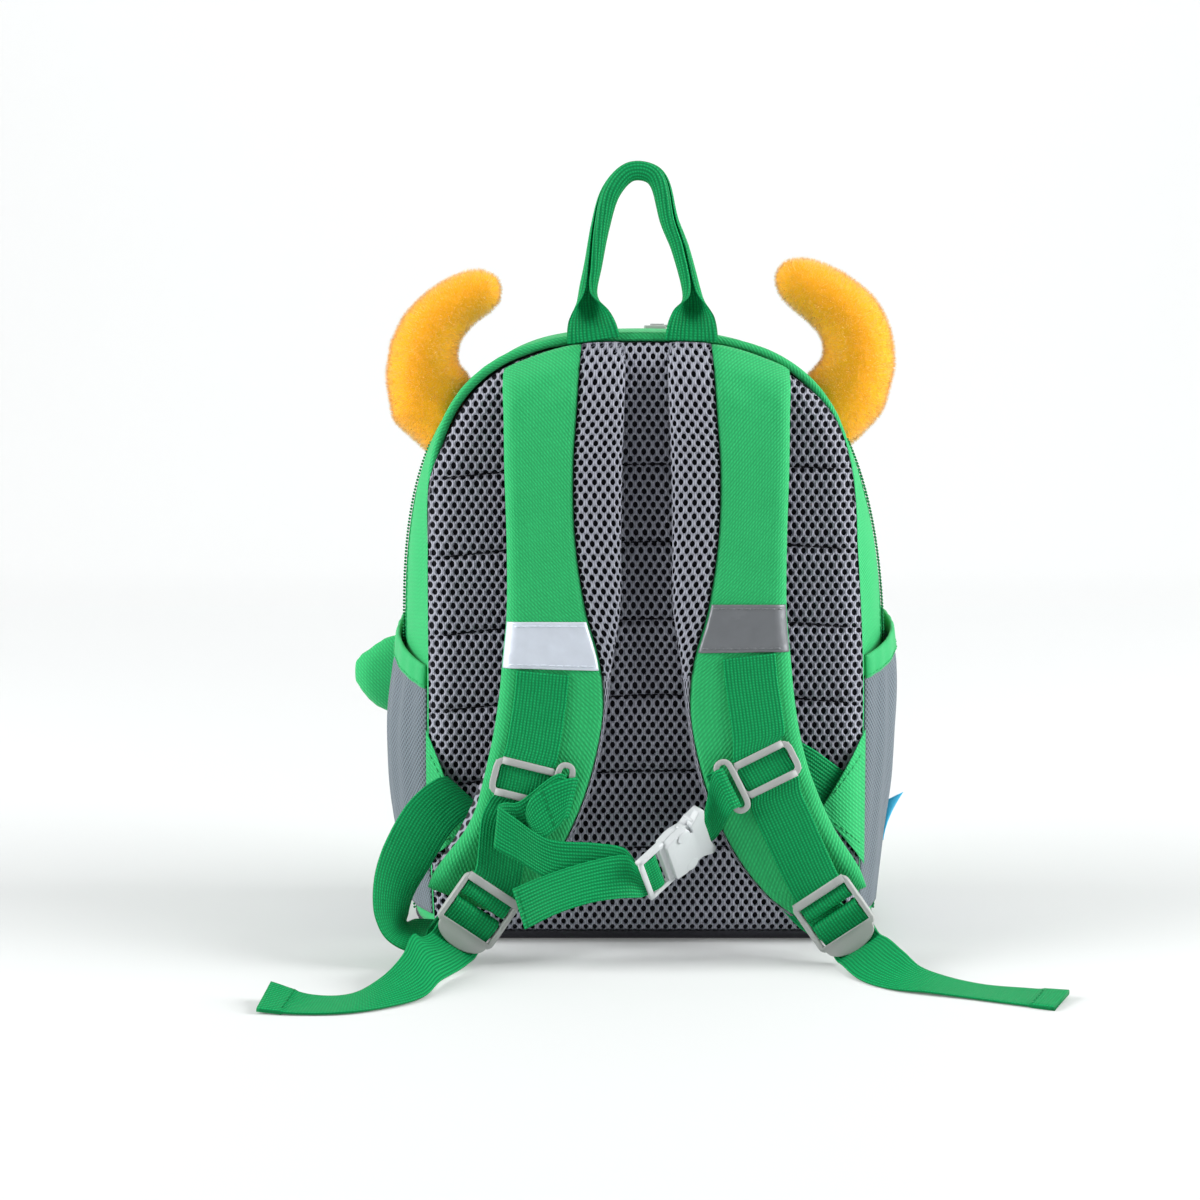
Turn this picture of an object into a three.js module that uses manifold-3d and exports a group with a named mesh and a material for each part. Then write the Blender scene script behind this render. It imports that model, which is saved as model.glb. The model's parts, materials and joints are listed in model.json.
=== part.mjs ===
// A child's backpack with padded shoulder straps, mesh side pockets and stuffed horns.
// Millimetres, +Z up. The harness side faces -Y and the bag stands on z = 0.
import * as THREE from "three";
import { mergeVertices } from "three/addons/utils/BufferGeometryUtils.js";
import Module from "manifold-3d";

const wasm = await Module();
wasm.setup();

// Body sizes. Each section is an arch across the bag at one depth, from the back seam to the front seam.
const BODY_SECTIONS = [
  { depth: -58, halfWidth: 107, height: 292, spring: 200 },
  { depth: -30, halfWidth: 116, height: 293.2, spring: 172 },
  { depth: 0, halfWidth: 119, height: 292.8, spring: 160 },
  { depth: 30, halfWidth: 116, height: 289.5, spring: 166 },
  { depth: 58, halfWidth: 105, height: 283, spring: 190 },
];
const BACK = -58;
const FRONT = 58;
const ARCH_POWER = 2.6;
const SIDE_TAPER = 5;
const FOOT = 5.9;
const GAP = 0.3;
const CLOTH = 2;
const ARCH_STEPS = 36;
const PIPING_RADIUS = 2.2;
const PIPING_SIDES = 5;
const ZIP_FROM = -7;
const ZIP_TO = 0;
const ZIP_RISE = 1.4;

// Padded back panel and plain front panel.
const SEAM_HEIGHTS = [43, 79, 115, 151.5, 189, 227];
const SEAM_SINK = 2.4;
const SEAM_HALF = 4;
const SEAM_BOW = 6;
const PANEL_EDGE = 2;
const PANEL_PAD = 6;
const PANEL_COLUMNS = 8;
const FRONT_DOME = 9;

// Base tray.
const BASE_RIM = 5.6;
const BASE_ROUND = 3.6;

// Side pockets: how far the mesh stands off the bag's side at each height above the foot.
const POCKET_BULGE = [
  { height: 12, out: 1.4 },
  { height: 27, out: 4 },
  { height: 48, out: 7 },
  { height: 75, out: 9.4 },
  { height: 100, out: 9.8 },
  { height: 125, out: 9 },
  { height: 150, out: 7.5 },
  { height: 170, out: 6 },
];
const POCKET_BACK = -53;
const POCKET_FRONT = 50;
const POCKET_FOOT = 12;
const POCKET_TOP_BACK = 134;
const POCKET_TOP_FRONT = 160;
const POCKET_WALL = 1.4;
const POCKET_STEPS = 10;
const BAND_HEIGHT = 11.5;
const BAND_WALL = 2.6;

// Shoulder straps, right side; the left one is its mirror. Each row is one cross-section down the strap.
const STRAP_ROWS = [
  { run: 0, mesh: 21, thick: 4.6,
    innerX: 10, innerY: -64.1, innerZ: 289, outerX: 68, outerY: -63.9, outerZ: 276.5 },
  { run: 12, mesh: 21.5, thick: 7,
    innerX: 10.2, innerY: -70, innerZ: 276, outerX: 68, outerY: -69.6, outerZ: 268 },
  { run: 26, mesh: 22, thick: 9,
    innerX: 10.5, innerY: -74, innerZ: 261, outerX: 67.5, outerY: -73.6, outerZ: 256 },
  { run: 59, mesh: 22.8, thick: 9,
    innerX: 11.5, innerY: -78.5, innerZ: 230, outerX: 67, outerY: -78.3, outerZ: 229 },
  { run: 92, mesh: 21.4, thick: 9,
    innerX: 12, innerY: -81, innerZ: 197, outerX: 66, outerY: -81, outerZ: 197 },
  { run: 125, mesh: 16, thick: 9,
    innerX: 12.5, innerY: -83, innerZ: 164, outerX: 66, outerY: -83, outerZ: 164 },
  { run: 148, mesh: 6, thick: 9,
    innerX: 16, innerY: -84, innerZ: 140, outerX: 68, outerY: -84, outerZ: 141 },
  { run: 170, mesh: 1.6, thick: 9,
    innerX: 18.5, innerY: -85, innerZ: 117, outerX: 70, outerY: -85, outerZ: 121 },
  { run: 193, mesh: 1.6, thick: 9,
    innerX: 23, innerY: -87, innerZ: 91, outerX: 73.5, outerY: -87.5, outerZ: 100.5 },
  { run: 216, mesh: 1.6, thick: 9,
    innerX: 31, innerY: -89, innerZ: 67, outerX: 79, outerY: -91, outerZ: 82.5 },
  { run: 242, mesh: 1.6, thick: 9,
    innerX: 42.5, innerY: -91, innerZ: 45.5, outerX: 88, outerY: -95.5, outerZ: 62.5 },
  { run: 262, mesh: 1.6, thick: 8,
    innerX: 56, innerY: -92, innerZ: 29, outerX: 99.5, outerY: -99.5, outerZ: 44.5 },
  { run: 274, mesh: 1.6, thick: 5,
    innerX: 68, innerY: -93, innerZ: 19.5, outerX: 103, outerY: -101, outerZ: 35.5 },
];
const STRAP_END = 274;
const STRAP_STEPS = 28;
const STRAP_CROWN = 4;
const STRAP_CROWN_RUN = 45;
const WEBBING_SHARE = 0.62;
const TAPE_RUN = { left: 130, right: 122 };
const TAPE_LENGTH = 22;
const TAPE_THICK = 0.6;
const TAPE_TO_WEB = 1.6;

// Webbing and hardware.
const WEBBING = 25;
const CHEST_WEBBING = 20;
const WEB_THICK = 1.2;
const TIGHT_STEPS = 3;
const LOOSE_STEPS = 2;
const SLIDER_RUN = 201;
const SLIDER_LIFT = 2.6;
const SLIDER_TURN = { left: 0.02, right: 0.18 };
const SLIDER_HALF = WEBBING / 2 + 0.7;
const SLIDER_OUTER = SLIDER_HALF + 2.2;
const LOOP_BAR = -SLIDER_OUTER - 5.8;
const LOOP_LIFT = 2.3;
const LOCK_AT = { left: { x: 80, y: -107.6, z: 26.5 }, right: { x: 86, y: -107.6, z: 26.5 } };
const LOCK_UP = { x: -0.42, y: 0.12, z: 0.9 };
const LOCK_ACROSS = { x: 0.88, y: -0.22, z: 0.41 };
const BUCKLE_AT = { x: 12, y: -103.4, z: 54.7 };
const BUCKLE_AXIS = { x: 0.74, y: 0.22, z: 0.62 };
const BUCKLE_ACROSS = { x: 0.57, y: -0.34, z: -0.74 };

// Stuffed horns: centre line and radius from the shoulder to the rounded tip. The left one leans lower.
const HORN_ROWS = {
  right: [
    { x: 84, z: 244, radius: 20 },
    { x: 99, z: 258, radius: 19.5 },
    { x: 107.4, z: 280, radius: 17.3 },
    { x: 104, z: 296, radius: 16.2 },
    { x: 97, z: 304.7, radius: 15 },
    { x: 86.4, z: 312.4, radius: 13.8 },
    { x: 77, z: 317.2, radius: 12.2 },
    { x: 71, z: 318.4, radius: 10 },
    { x: 67.3, z: 318.6, radius: 6.6 },
    { x: 65.8, z: 318.6, radius: 2.2 },
  ],
  left: [
    { x: 88, z: 238, radius: 19 },
    { x: 103.5, z: 252, radius: 18.6 },
    { x: 109.4, z: 275, radius: 17.4 },
    { x: 106.5, z: 292, radius: 15.4 },
    { x: 99.5, z: 302, radius: 13.6 },
    { x: 90, z: 310, radius: 12.4 },
    { x: 81, z: 314, radius: 11.2 },
    { x: 75.5, z: 315, radius: 9.4 },
    { x: 71.8, z: 315.3, radius: 6.2 },
    { x: 70.2, z: 315.3, radius: 2.2 },
  ],
};
const HORN_SIDES = 12;
const HORN_STEPS = 14;

const v3 = (x, y, z) => new THREE.Vector3(x, y, z);
const vec = (row) => v3(row.x, row.y, row.z).normalize();
const sides = { left: -1, right: 1 };

// Reads one column of a table at any value of its key, on a smooth curve through the rows.
function column(rows, key, name, at) {
  const last = rows.length - 1;
  const slope = (i) => {
    const a = rows[Math.max(i - 1, 0)];
    const b = rows[Math.min(i + 1, last)];
    return (b[name] - a[name]) / (b[key] - a[key]);
  };
  let i = 0;
  while (i < last - 1 && rows[i + 1][key] <= at) i += 1;
  const low = rows[i];
  const high = rows[i + 1];
  const span = high[key] - low[key];
  const t = THREE.MathUtils.clamp((at - low[key]) / span, 0, 1);
  const t2 = t * t;
  const t3 = t2 * t;
  const start = (2 * t3 - 3 * t2 + 1) * low[name] + (t3 - 2 * t2 + t) * span * slope(i);
  const end = (3 * t2 - 2 * t3) * high[name] + (t3 - t2) * span * slope(i + 1);
  return start + end;
}

const steps = (count) => Array.from({ length: count + 1 }, (_, i) => i / count);

function volumeOf(geometry) {
  const at = geometry.attributes.position;
  const index = geometry.index.array;
  const a = v3();
  const b = v3();
  const c = v3();
  let sum = 0;
  for (let i = 0; i < index.length; i += 3) {
    a.fromBufferAttribute(at, index[i]);
    b.fromBufferAttribute(at, index[i + 1]);
    c.fromBufferAttribute(at, index[i + 2]);
    sum += a.dot(b.cross(c));
  }
  return sum;
}

// Turns every face outward and gives the geometry its normals.
function outward(geometry) {
  if (volumeOf(geometry) < 0) {
    const index = geometry.index.array;
    for (let i = 0; i < index.length; i += 3) {
      [index[i], index[i + 1]] = [index[i + 1], index[i]];
    }
  }
  geometry.computeVertexNormals();
  return geometry;
}

// Triangles that close a ring, wound the same way as the ring.
function capOf(ring) {
  const normal = v3(0, 0, 0);
  ring.forEach((p, i) => normal.add(p.clone().cross(ring[(i + 1) % ring.length])));
  normal.normalize();
  const helper = Math.abs(normal.x) < 0.8 ? v3(1, 0, 0) : v3(0, 1, 0);
  const right = helper.cross(normal).normalize();
  const up = normal.clone().cross(right);
  const flat = ring.map((p) => new THREE.Vector2(p.dot(right), p.dot(up)));
  return THREE.ShapeUtils.triangulateShape(flat, []).map(([a, b, c]) => {
    const ab = flat[b].clone().sub(flat[a]);
    const ac = flat[c].clone().sub(flat[a]);
    return ab.cross(ac) < 0 ? [a, c, b] : [a, b, c];
  });
}

// A closed solid through rings of points, capped at both ends.
function loft(rings) {
  const around = rings[0].length;
  const points = rings.flat().flatMap((p) => [p.x, p.y, p.z]);
  const faces = [];
  for (let i = 0; i < rings.length - 1; i += 1) {
    for (let j = 0; j < around; j += 1) {
      const a = i * around + j;
      const b = i * around + ((j + 1) % around);
      faces.push(a, b, b + around, a, b + around, a + around);
    }
  }
  const top = (rings.length - 1) * around;
  capOf(rings[0]).forEach(([a, b, c]) => faces.push(a, c, b));
  capOf(rings[rings.length - 1]).forEach(([a, b, c]) => faces.push(top + a, top + b, top + c));
  const geometry = new THREE.BufferGeometry();
  geometry.setAttribute("position", new THREE.Float32BufferAttribute(points, 3));
  geometry.setIndex(faces);
  return outward(geometry);
}

// Solid operations, for pieces with holes.
function toSolid(geometry) {
  const bare = geometry.clone();
  bare.deleteAttribute("normal");
  bare.deleteAttribute("uv");
  const merged = outward(mergeVertices(bare, 1e-4));
  const vertProperties = new Float32Array(merged.attributes.position.array);
  const triVerts = new Uint32Array(merged.index.array);
  return new wasm.Manifold(new wasm.Mesh({ numProp: 3, vertProperties, triVerts }));
}

function fromSolid(solid) {
  const mesh = solid.getMesh();
  const geometry = new THREE.BufferGeometry();
  geometry.setAttribute("position", new THREE.Float32BufferAttribute(mesh.vertProperties, 3));
  geometry.setIndex(Array.from(mesh.triVerts));
  return outward(geometry);
}

const joined = (parts) => parts.map(toSolid).reduce((a, b) => a.add(b));
const block = (low, high) =>
  new THREE.BoxGeometry(high[0] - low[0], high[1] - low[1], high[2] - low[2]).translate(
    (low[0] + high[0]) / 2,
    (low[1] + high[1]) / 2,
    (low[2] + high[2]) / 2,
  );

// A local frame: u across, v up, n to the front.
function frameOf(at, across, up) {
  const v = up.clone().normalize();
  const u = across.clone().addScaledVector(v, -across.dot(v)).normalize();
  const n = u.clone().cross(v);
  if (n.y > 0) n.negate();
  return { at, u, v, n };
}

function spot(frame, u, v, n) {
  const at = frame.at.clone().addScaledVector(frame.u, u);
  return at.addScaledVector(frame.v, v).addScaledVector(frame.n, n);
}

function bake(geometry, frame) {
  const matrix = new THREE.Matrix4().makeBasis(frame.u, frame.v, frame.n).setPosition(frame.at);
  return outward(geometry.clone().applyMatrix4(matrix));
}

// A strip of webbing along rows of { at, across }, with more sections after the rows marked tight.
function ribbon(rows, width, thick) {
  const path = new THREE.CatmullRomCurve3(rows.map((row) => row.at));
  const turn = new THREE.CatmullRomCurve3(rows.map((row) => row.across), false, "catmullrom", 0.5);
  const widths = rows.map((row) => row.width ?? width);
  const stops = rows.slice(0, -1).flatMap((row, i) => {
    const count = row.tight ? TIGHT_STEPS : LOOSE_STEPS;
    return steps(count).slice(0, -1).map((t) => (i + t) / (rows.length - 1));
  });
  const rings = [...stops, 1].map((t) => {
    const along = path.getTangent(t);
    const across = turn.getPoint(t);
    const normal = along.clone().cross(across.normalize()).normalize();
    const place = t * (rows.length - 1);
    const low = Math.min(Math.floor(place), rows.length - 2);
    const wide = THREE.MathUtils.lerp(widths[low], widths[low + 1], place - low);
    const deep = (thick * width) / wide;
    const corner = (a, b) => {
      const at = path.getPoint(t).addScaledVector(across, (a * wide) / 2);
      return at.addScaledVector(normal, (b * deep) / 2);
    };
    return [corner(-1, -1), corner(1, -1), corner(1, 1), corner(-1, 1)];
  });
  return loft(rings);
}

const point = (x, y, z, ax, ay, az) => ({ at: v3(x, y, z), across: v3(ax, ay, az).normalize() });

// Half width of the bag at a depth and height.
function halfWidthAt(depth, z) {
  const wide = column(BODY_SECTIONS, "depth", "halfWidth", depth);
  const high = column(BODY_SECTIONS, "depth", "height", depth);
  const spring = column(BODY_SECTIONS, "depth", "spring", depth);
  if (z < spring) return wide - SIDE_TAPER * ((spring - z) / spring) ** 2;
  const share = Math.min((z - spring) / (high - spring), 1);
  return wide * (1 - share ** ARCH_POWER) ** (1 / ARCH_POWER);
}

// The arch at one depth as evenly spaced points with outward normals, right foot to left foot.
const OUTLINE_SAMPLES = 48;
function archAt(depth, out) {
  const high = column(BODY_SECTIONS, "depth", "height", depth);
  const wide = column(BODY_SECTIONS, "depth", "halfWidth", depth);
  const spring = column(BODY_SECTIONS, "depth", "spring", depth);
  const half = [];
  steps(OUTLINE_SAMPLES).forEach((t) => {
    const z = FOOT + t * (spring - FOOT);
    half.push(new THREE.Vector2(halfWidthAt(depth, z), z));
  });
  steps(OUTLINE_SAMPLES).slice(1).forEach((t) => {
    const angle = (t * Math.PI) / 2;
    const x = wide * Math.max(Math.cos(angle), 0) ** (2 / ARCH_POWER);
    half.push(new THREE.Vector2(x, spring + (high - spring) * Math.sin(angle) ** (2 / ARCH_POWER)));
  });
  const left = half.slice(0, -1).reverse().map((p) => new THREE.Vector2(-p.x, p.y));
  const curve = new THREE.SplineCurve([...half, ...left]);
  curve.arcLengthDivisions = 400;
  return steps(ARCH_STEPS).map((t) => {
    const at = curve.getPointAt(t);
    const along = curve.getTangentAt(t);
    return v3(at.x + along.y * out, depth, at.y - along.x * out);
  });
}

// A band that runs over the arch. The profile is a closed list of { depth, out }.
function archBand(profile) {
  const lines = profile.map((p) => archAt(p.depth, p.out));
  return loft(steps(ARCH_STEPS).map((_, i) => lines.map((line) => line[i])));
}

const gussetDepths = (from, to) => steps(3).map((t) => from + t * (to - from));
const REAR_DEPTHS = gussetDepths(BACK + PIPING_RADIUS + GAP, ZIP_FROM - GAP);
const FRONT_DEPTHS = gussetDepths(ZIP_TO + GAP, FRONT - PIPING_RADIUS - GAP);

function gusset(depths) {
  const outer = depths.map((depth) => ({ depth, out: 0 }));
  const inner = depths.map((depth) => ({ depth, out: -CLOTH })).reverse();
  return archBand([...outer, ...inner]);
}

function zipChain(grow) {
  const middle = (ZIP_FROM + ZIP_TO) / 2;
  return archBand([
    { depth: ZIP_FROM - grow, out: grow },
    { depth: middle, out: ZIP_RISE + grow },
    { depth: ZIP_TO + grow, out: grow },
    { depth: ZIP_TO + grow, out: -CLOTH },
    { depth: ZIP_FROM - grow, out: -CLOTH },
  ]);
}

function piping(depth) {
  const turn = steps(PIPING_SIDES).slice(1).map((t) => t * Math.PI * 2);
  return archBand(turn.map((a) => ({
    depth: depth + PIPING_RADIUS * Math.cos(a),
    out: PIPING_RADIUS * Math.sin(a),
  })));
}

// A panel inside the arch, in rows from the base up. faceAt and rearAt give how far each side stands out.
function panel(depth, facing, heights, bow, faceAt, rearAt) {
  const inset = PIPING_RADIUS + GAP;
  const top = column(BODY_SECTIONS, "depth", "height", depth) - inset;
  const rings = heights.map((height) => {
    const wide = halfWidthAt(depth, height + (height / top) * inset) - inset;
    const shares = steps(PANEL_COLUMNS).map((t) => 2 * t - 1);
    const rise = bow * Math.sin(Math.PI * Math.min(height / top, 1)) ** 0.5;
    const row = (share, out) => {
      const z = height + rise * (1 - share * share) * (1 - (height / top) ** 6);
      return v3(share * wide, depth + facing * out, z);
    };
    const face = shares.map((share) => row(share, faceAt(share, height, top)));
    const rear = shares.map((share) => row(share, rearAt(share, height, top))).reverse();
    return [...face, ...rear];
  });
  return loft(rings);
}

function backPanel() {
  const heights = [BASE_RIM + GAP];
  SEAM_HEIGHTS.forEach((seam, i) => {
    const below = i === 0 ? BASE_RIM : SEAM_HEIGHTS[i - 1];
    heights.push((below + seam) / 2, seam - SEAM_HALF, seam, seam + SEAM_HALF);
  });
  heights.push(250, 270, 280, 285.5, 288.5);
  const padding = (share, height, top) => {
    const side = 1 - Math.abs(share) ** 6;
    const end = Math.max(Math.min(1, (top - height) / 24, (height - BASE_RIM) / 10 + 0.2), 0);
    const sink = SEAM_HEIGHTS.includes(height) ? SEAM_SINK : 0;
    return PANEL_EDGE + (PANEL_PAD - sink) * side * end;
  };
  return panel(BACK, -1, heights, SEAM_BOW, padding, () => 0);
}

function frontPanel() {
  const heights = [5.9, 30, 65, 105, 145, 180, 210, 236, 256, 270, 277.5, 280];
  const dome = (share, height, top) => {
    const side = 1 - Math.abs(share) ** 3;
    const end = Math.sin(Math.PI * Math.min(height / top, 1));
    return FRONT_DOME * side * end;
  };
  return panel(FRONT, 1, heights, 0, (...at) => CLOTH + dome(...at), dome);
}

// Base tray: flat underside, rounded edge, low wall.
function bottomPanel() {
  const depths = steps(8).map((t) => BACK + t * (FRONT - BACK));
  const ring = (z, inset) => {
    const right = depths.map((depth) => {
      const y = THREE.MathUtils.clamp(depth, BACK + inset, FRONT - inset);
      return v3(halfWidthAt(depth, z) - inset, y, z);
    });
    return [...right, ...right.map((p) => v3(-p.x, p.y, p.z)).reverse()];
  };
  return loft([
    ring(0, BASE_ROUND),
    ring(BASE_ROUND * 0.3, BASE_ROUND * 0.3),
    ring(BASE_ROUND, 0),
    ring(BASE_RIM, 0),
    ring(BASE_RIM, CLOTH),
    ring(BASE_ROUND, CLOTH),
    ring(CLOTH, BASE_ROUND),
  ]);
}

// Side pockets. share runs from the rear seam (0) to the front seam (1).
const pocketDepth = (share) => POCKET_BACK + share * (POCKET_FRONT - POCKET_BACK);
const pocketTop = (share) => POCKET_TOP_BACK + share * (POCKET_TOP_FRONT - POCKET_TOP_BACK);

function pocketPoint(side, share, z, extra) {
  const depth = pocketDepth(share);
  const swell = Math.sin(Math.PI * THREE.MathUtils.clamp(share, 0, 1)) ** 0.6;
  const out = column(POCKET_BULGE, "height", "out", z) * swell;
  return v3(side * (halfWidthAt(depth, z) + GAP + out + extra), depth, z);
}

function pocket(side) {
  const rows = steps(8).map((t) => {
    const height = (share) => POCKET_FOOT + t * (pocketTop(share) - BAND_HEIGHT - GAP - POCKET_FOOT);
    const shares = steps(POCKET_STEPS);
    const outer = shares.map((s) => pocketPoint(side, s, height(s), POCKET_WALL));
    const inner = shares.map((s) => pocketPoint(side, s, height(s), 0)).reverse();
    return [...outer, ...inner];
  });
  return loft(rows);
}

function pocketBand(side) {
  return loft(steps(POCKET_STEPS).map((s) => {
    const high = pocketTop(s);
    const low = high - BAND_HEIGHT;
    return [
      pocketPoint(side, s, low, BAND_WALL),
      pocketPoint(side, s, high, BAND_WALL),
      pocketPoint(side, s, high, 0),
      pocketPoint(side, s, low, 0),
    ];
  }));
}

// Shoulder straps.
function strapEdges(side, run) {
  const read = (name) => column(STRAP_ROWS, "run", name, run);
  return {
    inner: v3(side * read("innerX"), read("innerY"), read("innerZ")),
    outer: v3(side * read("outerX"), read("outerY"), read("outerZ")),
    mesh: read("mesh"),
    thick: read("thick"),
  };
}

function strapFrame(side, run, share) {
  const middle = (at) => {
    const edges = strapEdges(side, at);
    return edges.inner.lerp(edges.outer, share);
  };
  const low = Math.min(run + 4, STRAP_END);
  const up = middle(low - 8).sub(middle(low));
  const edges = strapEdges(side, run);
  return frameOf(middle(run), edges.outer.clone().sub(edges.inner), up);
}

// A point on the strap: s is millimetres from the inner edge, h is the lift from its middle surface.
function strapPoint(side, run, s, h) {
  const { inner, outer } = strapEdges(side, run);
  const across = outer.clone().sub(inner).normalize();
  const share = s / inner.distanceTo(outer);
  const crown = STRAP_CROWN * Math.max(1 - run / STRAP_CROWN_RUN, 0) ** 2 * Math.sin(Math.PI * share);
  const at = inner.addScaledVector(across, s).addScaledVector(strapFrame(side, run, 0.5).n, h);
  return at.add(v3(0, 0, crown));
}

function strapSolid(side, section) {
  return loft(steps(STRAP_STEPS).map((t) => {
    const run = t * STRAP_END;
    const { inner, outer, mesh, thick } = strapEdges(side, run);
    const wide = inner.distanceTo(outer);
    return section(wide, mesh, thick / 2).map(([s, h]) => strapPoint(side, run, s, h));
  }));
}

const LINING_TOP = -1.1;
const strapFace = (side) =>
  strapSolid(side, (wide, mesh, half) => [
    [mesh + GAP, LINING_TOP + GAP],
    [mesh + GAP, half * 0.75],
    [mesh + 4, half],
    [wide - 6, half],
    [wide - 1.2, half * 0.55],
    [wide, LINING_TOP + GAP],
  ]);

const strapLining = (side) =>
  strapSolid(side, (wide, mesh, half) => [
    [mesh, LINING_TOP],
    [mesh, half * 0.8],
    [mesh * 0.3, half],
    [0, half * 0.6],
    [0, LINING_TOP],
    [3, -half],
    [wide - 3, -half],
    [wide - 0.6, LINING_TOP],
  ]);

function tape(side, from) {
  return loft(steps(4).map((t) => {
    const run = from + t * TAPE_LENGTH;
    const { inner, outer, mesh, thick } = strapEdges(side, run);
    const wide = inner.distanceTo(outer);
    const low = thick / 2 + GAP;
    return [
      [mesh + 4, low],
      [wide - 6, low],
      [wide - 1.2, low * 0.62],
      [wide - 0.6, low * 0.62 + TAPE_THICK],
      [wide - 5.8, low + TAPE_THICK],
      [mesh + 4, low + TAPE_THICK],
    ].map(([s, h]) => strapPoint(side, run, s, h));
  }));
}

// Frames of the sternum slider, the ladder lock and the chest buckle.
function sliderFrame(side) {
  const frame = strapFrame(side, SLIDER_RUN, WEBBING_SHARE);
  frame.at.addScaledVector(frame.n, strapEdges(side, SLIDER_RUN).thick / 2 + SLIDER_LIFT);
  frame.u.addScaledVector(frame.v, side < 0 ? SLIDER_TURN.left : SLIDER_TURN.right).normalize();
  frame.v.addScaledVector(frame.u, -frame.v.dot(frame.u)).normalize();
  return frame;
}

const mirrored = (row, side) => v3(side * row.x, row.y, row.z);
const lockFrame = (side) => {
  const at = side < 0 ? LOCK_AT.left : LOCK_AT.right;
  return frameOf(mirrored(at, side), mirrored(LOCK_ACROSS, side), mirrored(LOCK_UP, side));
};
const buckleFrame = frameOf(mirrored(BUCKLE_AT, 1), vec(BUCKLE_ACROSS), vec(BUCKLE_AXIS));

// Webbing sewn down the strap, held in the slider and folded over the ladder lock's upper bar.
function strapWebbing(side, from) {
  const onStrap = ({ run, lift }) => {
    const edges = strapEdges(side, run);
    const s = edges.inner.distanceTo(edges.outer) * WEBBING_SHARE;
    const across = strapFrame(side, run, WEBBING_SHARE).u;
    return { at: strapPoint(side, run, s, edges.thick / 2 + lift), across };
  };
  const slider = sliderFrame(side);
  const inSlider = (v) => ({ at: spot(slider, 0, v, 0), across: slider.u.clone() });
  const above = [{ run: from, lift: 1 }, { run: from + 12, lift: 1 }, { run: SLIDER_RUN - 16, lift: 2 }];
  const below = [{ run: SLIDER_RUN + 16, lift: 1.7 }, { run: 232, lift: 1.6 }];
  const rows = [...above.map(onStrap), ...[9, -9].map(inSlider), ...below.map(onStrap)];
  const frame = lockFrame(side);
  const over = [[16, -1.9], [11.6, -1.2], [8.5, -0.2], [5.8, 0.4], [3.7, -0.3], [3.2, -2.2]];
  return ribbon([...rows, ...threaded(frame, over)], WEBBING, WEB_THICK);
}

// Frame with two front bars, a bar behind the webbing and a loop for the chest strap.
function sternumSlider(side) {
  const half = SLIDER_HALF;
  const outer = SLIDER_OUTER;
  const deep = CHEST_WEBBING / 2 + 1.1;
  const parts = [
    block([half, -9, -2.1], [outer, 9, 2.6]),
    block([-outer, -9, -2.1], [-half, 9, 2.6]),
    block([-outer, 6, 1], [outer, 9, 2.6]),
    block([-outer, -9, 1], [outer, -6, 2.6]),
    block([-outer, -1.5, -2.1], [outer, 1.5, -0.95]),
    block([-outer - 1, -deep - 2.4, 1.2], [-outer + 2.4, deep + 2.4, 3.4]),
    block([-outer - 7, deep, 1.2], [-outer, deep + 2.4, 3.4]),
    block([-outer - 7, -deep - 2.4, 1.2], [-outer, -deep, 3.4]),
    block([-outer - 7, -deep - 2.4, 1.2], [-outer - 4.6, deep + 2.4, 3.4]),
  ];
  return bake(fromSolid(joined(parts)), sliderFrame(side));
}

function ladderLock(side) {
  const half = WEBBING / 2 + 0.7;
  const outer = half + 2.4;
  const shape = new THREE.Shape();
  shape.moveTo(-outer, -9.5);
  shape.lineTo(outer, -9.5);
  shape.lineTo(outer, -12);
  shape.absarc(0, -12, outer - 3, 0, -Math.PI, true);
  shape.lineTo(-outer, -12);
  const tab = new THREE.ExtrudeGeometry(shape, { depth: 1.8, bevelEnabled: false, curveSegments: 8 });
  const parts = [
    block([half, -12, -2], [outer, 13, 2]),
    block([-outer, -12, -2], [-half, 13, 2]),
    block([-outer, 10.4, 0], [outer, 13, 2]),
    block([-outer, 4.6, -2], [outer, 6.8, -0.6]),
    block([-outer, -3.9, -2], [outer, -2, -0.9]),
    tab.translate(0, 0, 0.2),
  ];
  const solid = joined(parts).subtract(toSolid(block([-outer - 1, -40, -9], [outer + 1, -17.8, 9])));
  return bake(fromSolid(solid), lockFrame(side));
}

// Rows of webbing that bend about a frame's u, at places given as [v, n].
const threaded = (frame, places) =>
  places.map(([v, n]) => ({ at: spot(frame, 0, v, n), across: frame.u.clone(), tight: true }));

// Adjuster webbing: from the wing, through the ladder lock, to the free tail on the floor.
function adjuster(side, start, tail) {
  const frame = lockFrame(side);
  const up = [[-9, -6.5], [-3, -5.4], [0.3, -3.6], [0.2, -1.6]];
  const down = [[-1, 0.1], [-3, 0.5], [-6, -0.1], [-10, -1.3], [-14, -2], [-18.8, -1.2]];
  return ribbon([...start, ...threaded(frame, [...up, ...down]), ...tail], WEBBING, WEB_THICK);
}

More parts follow.
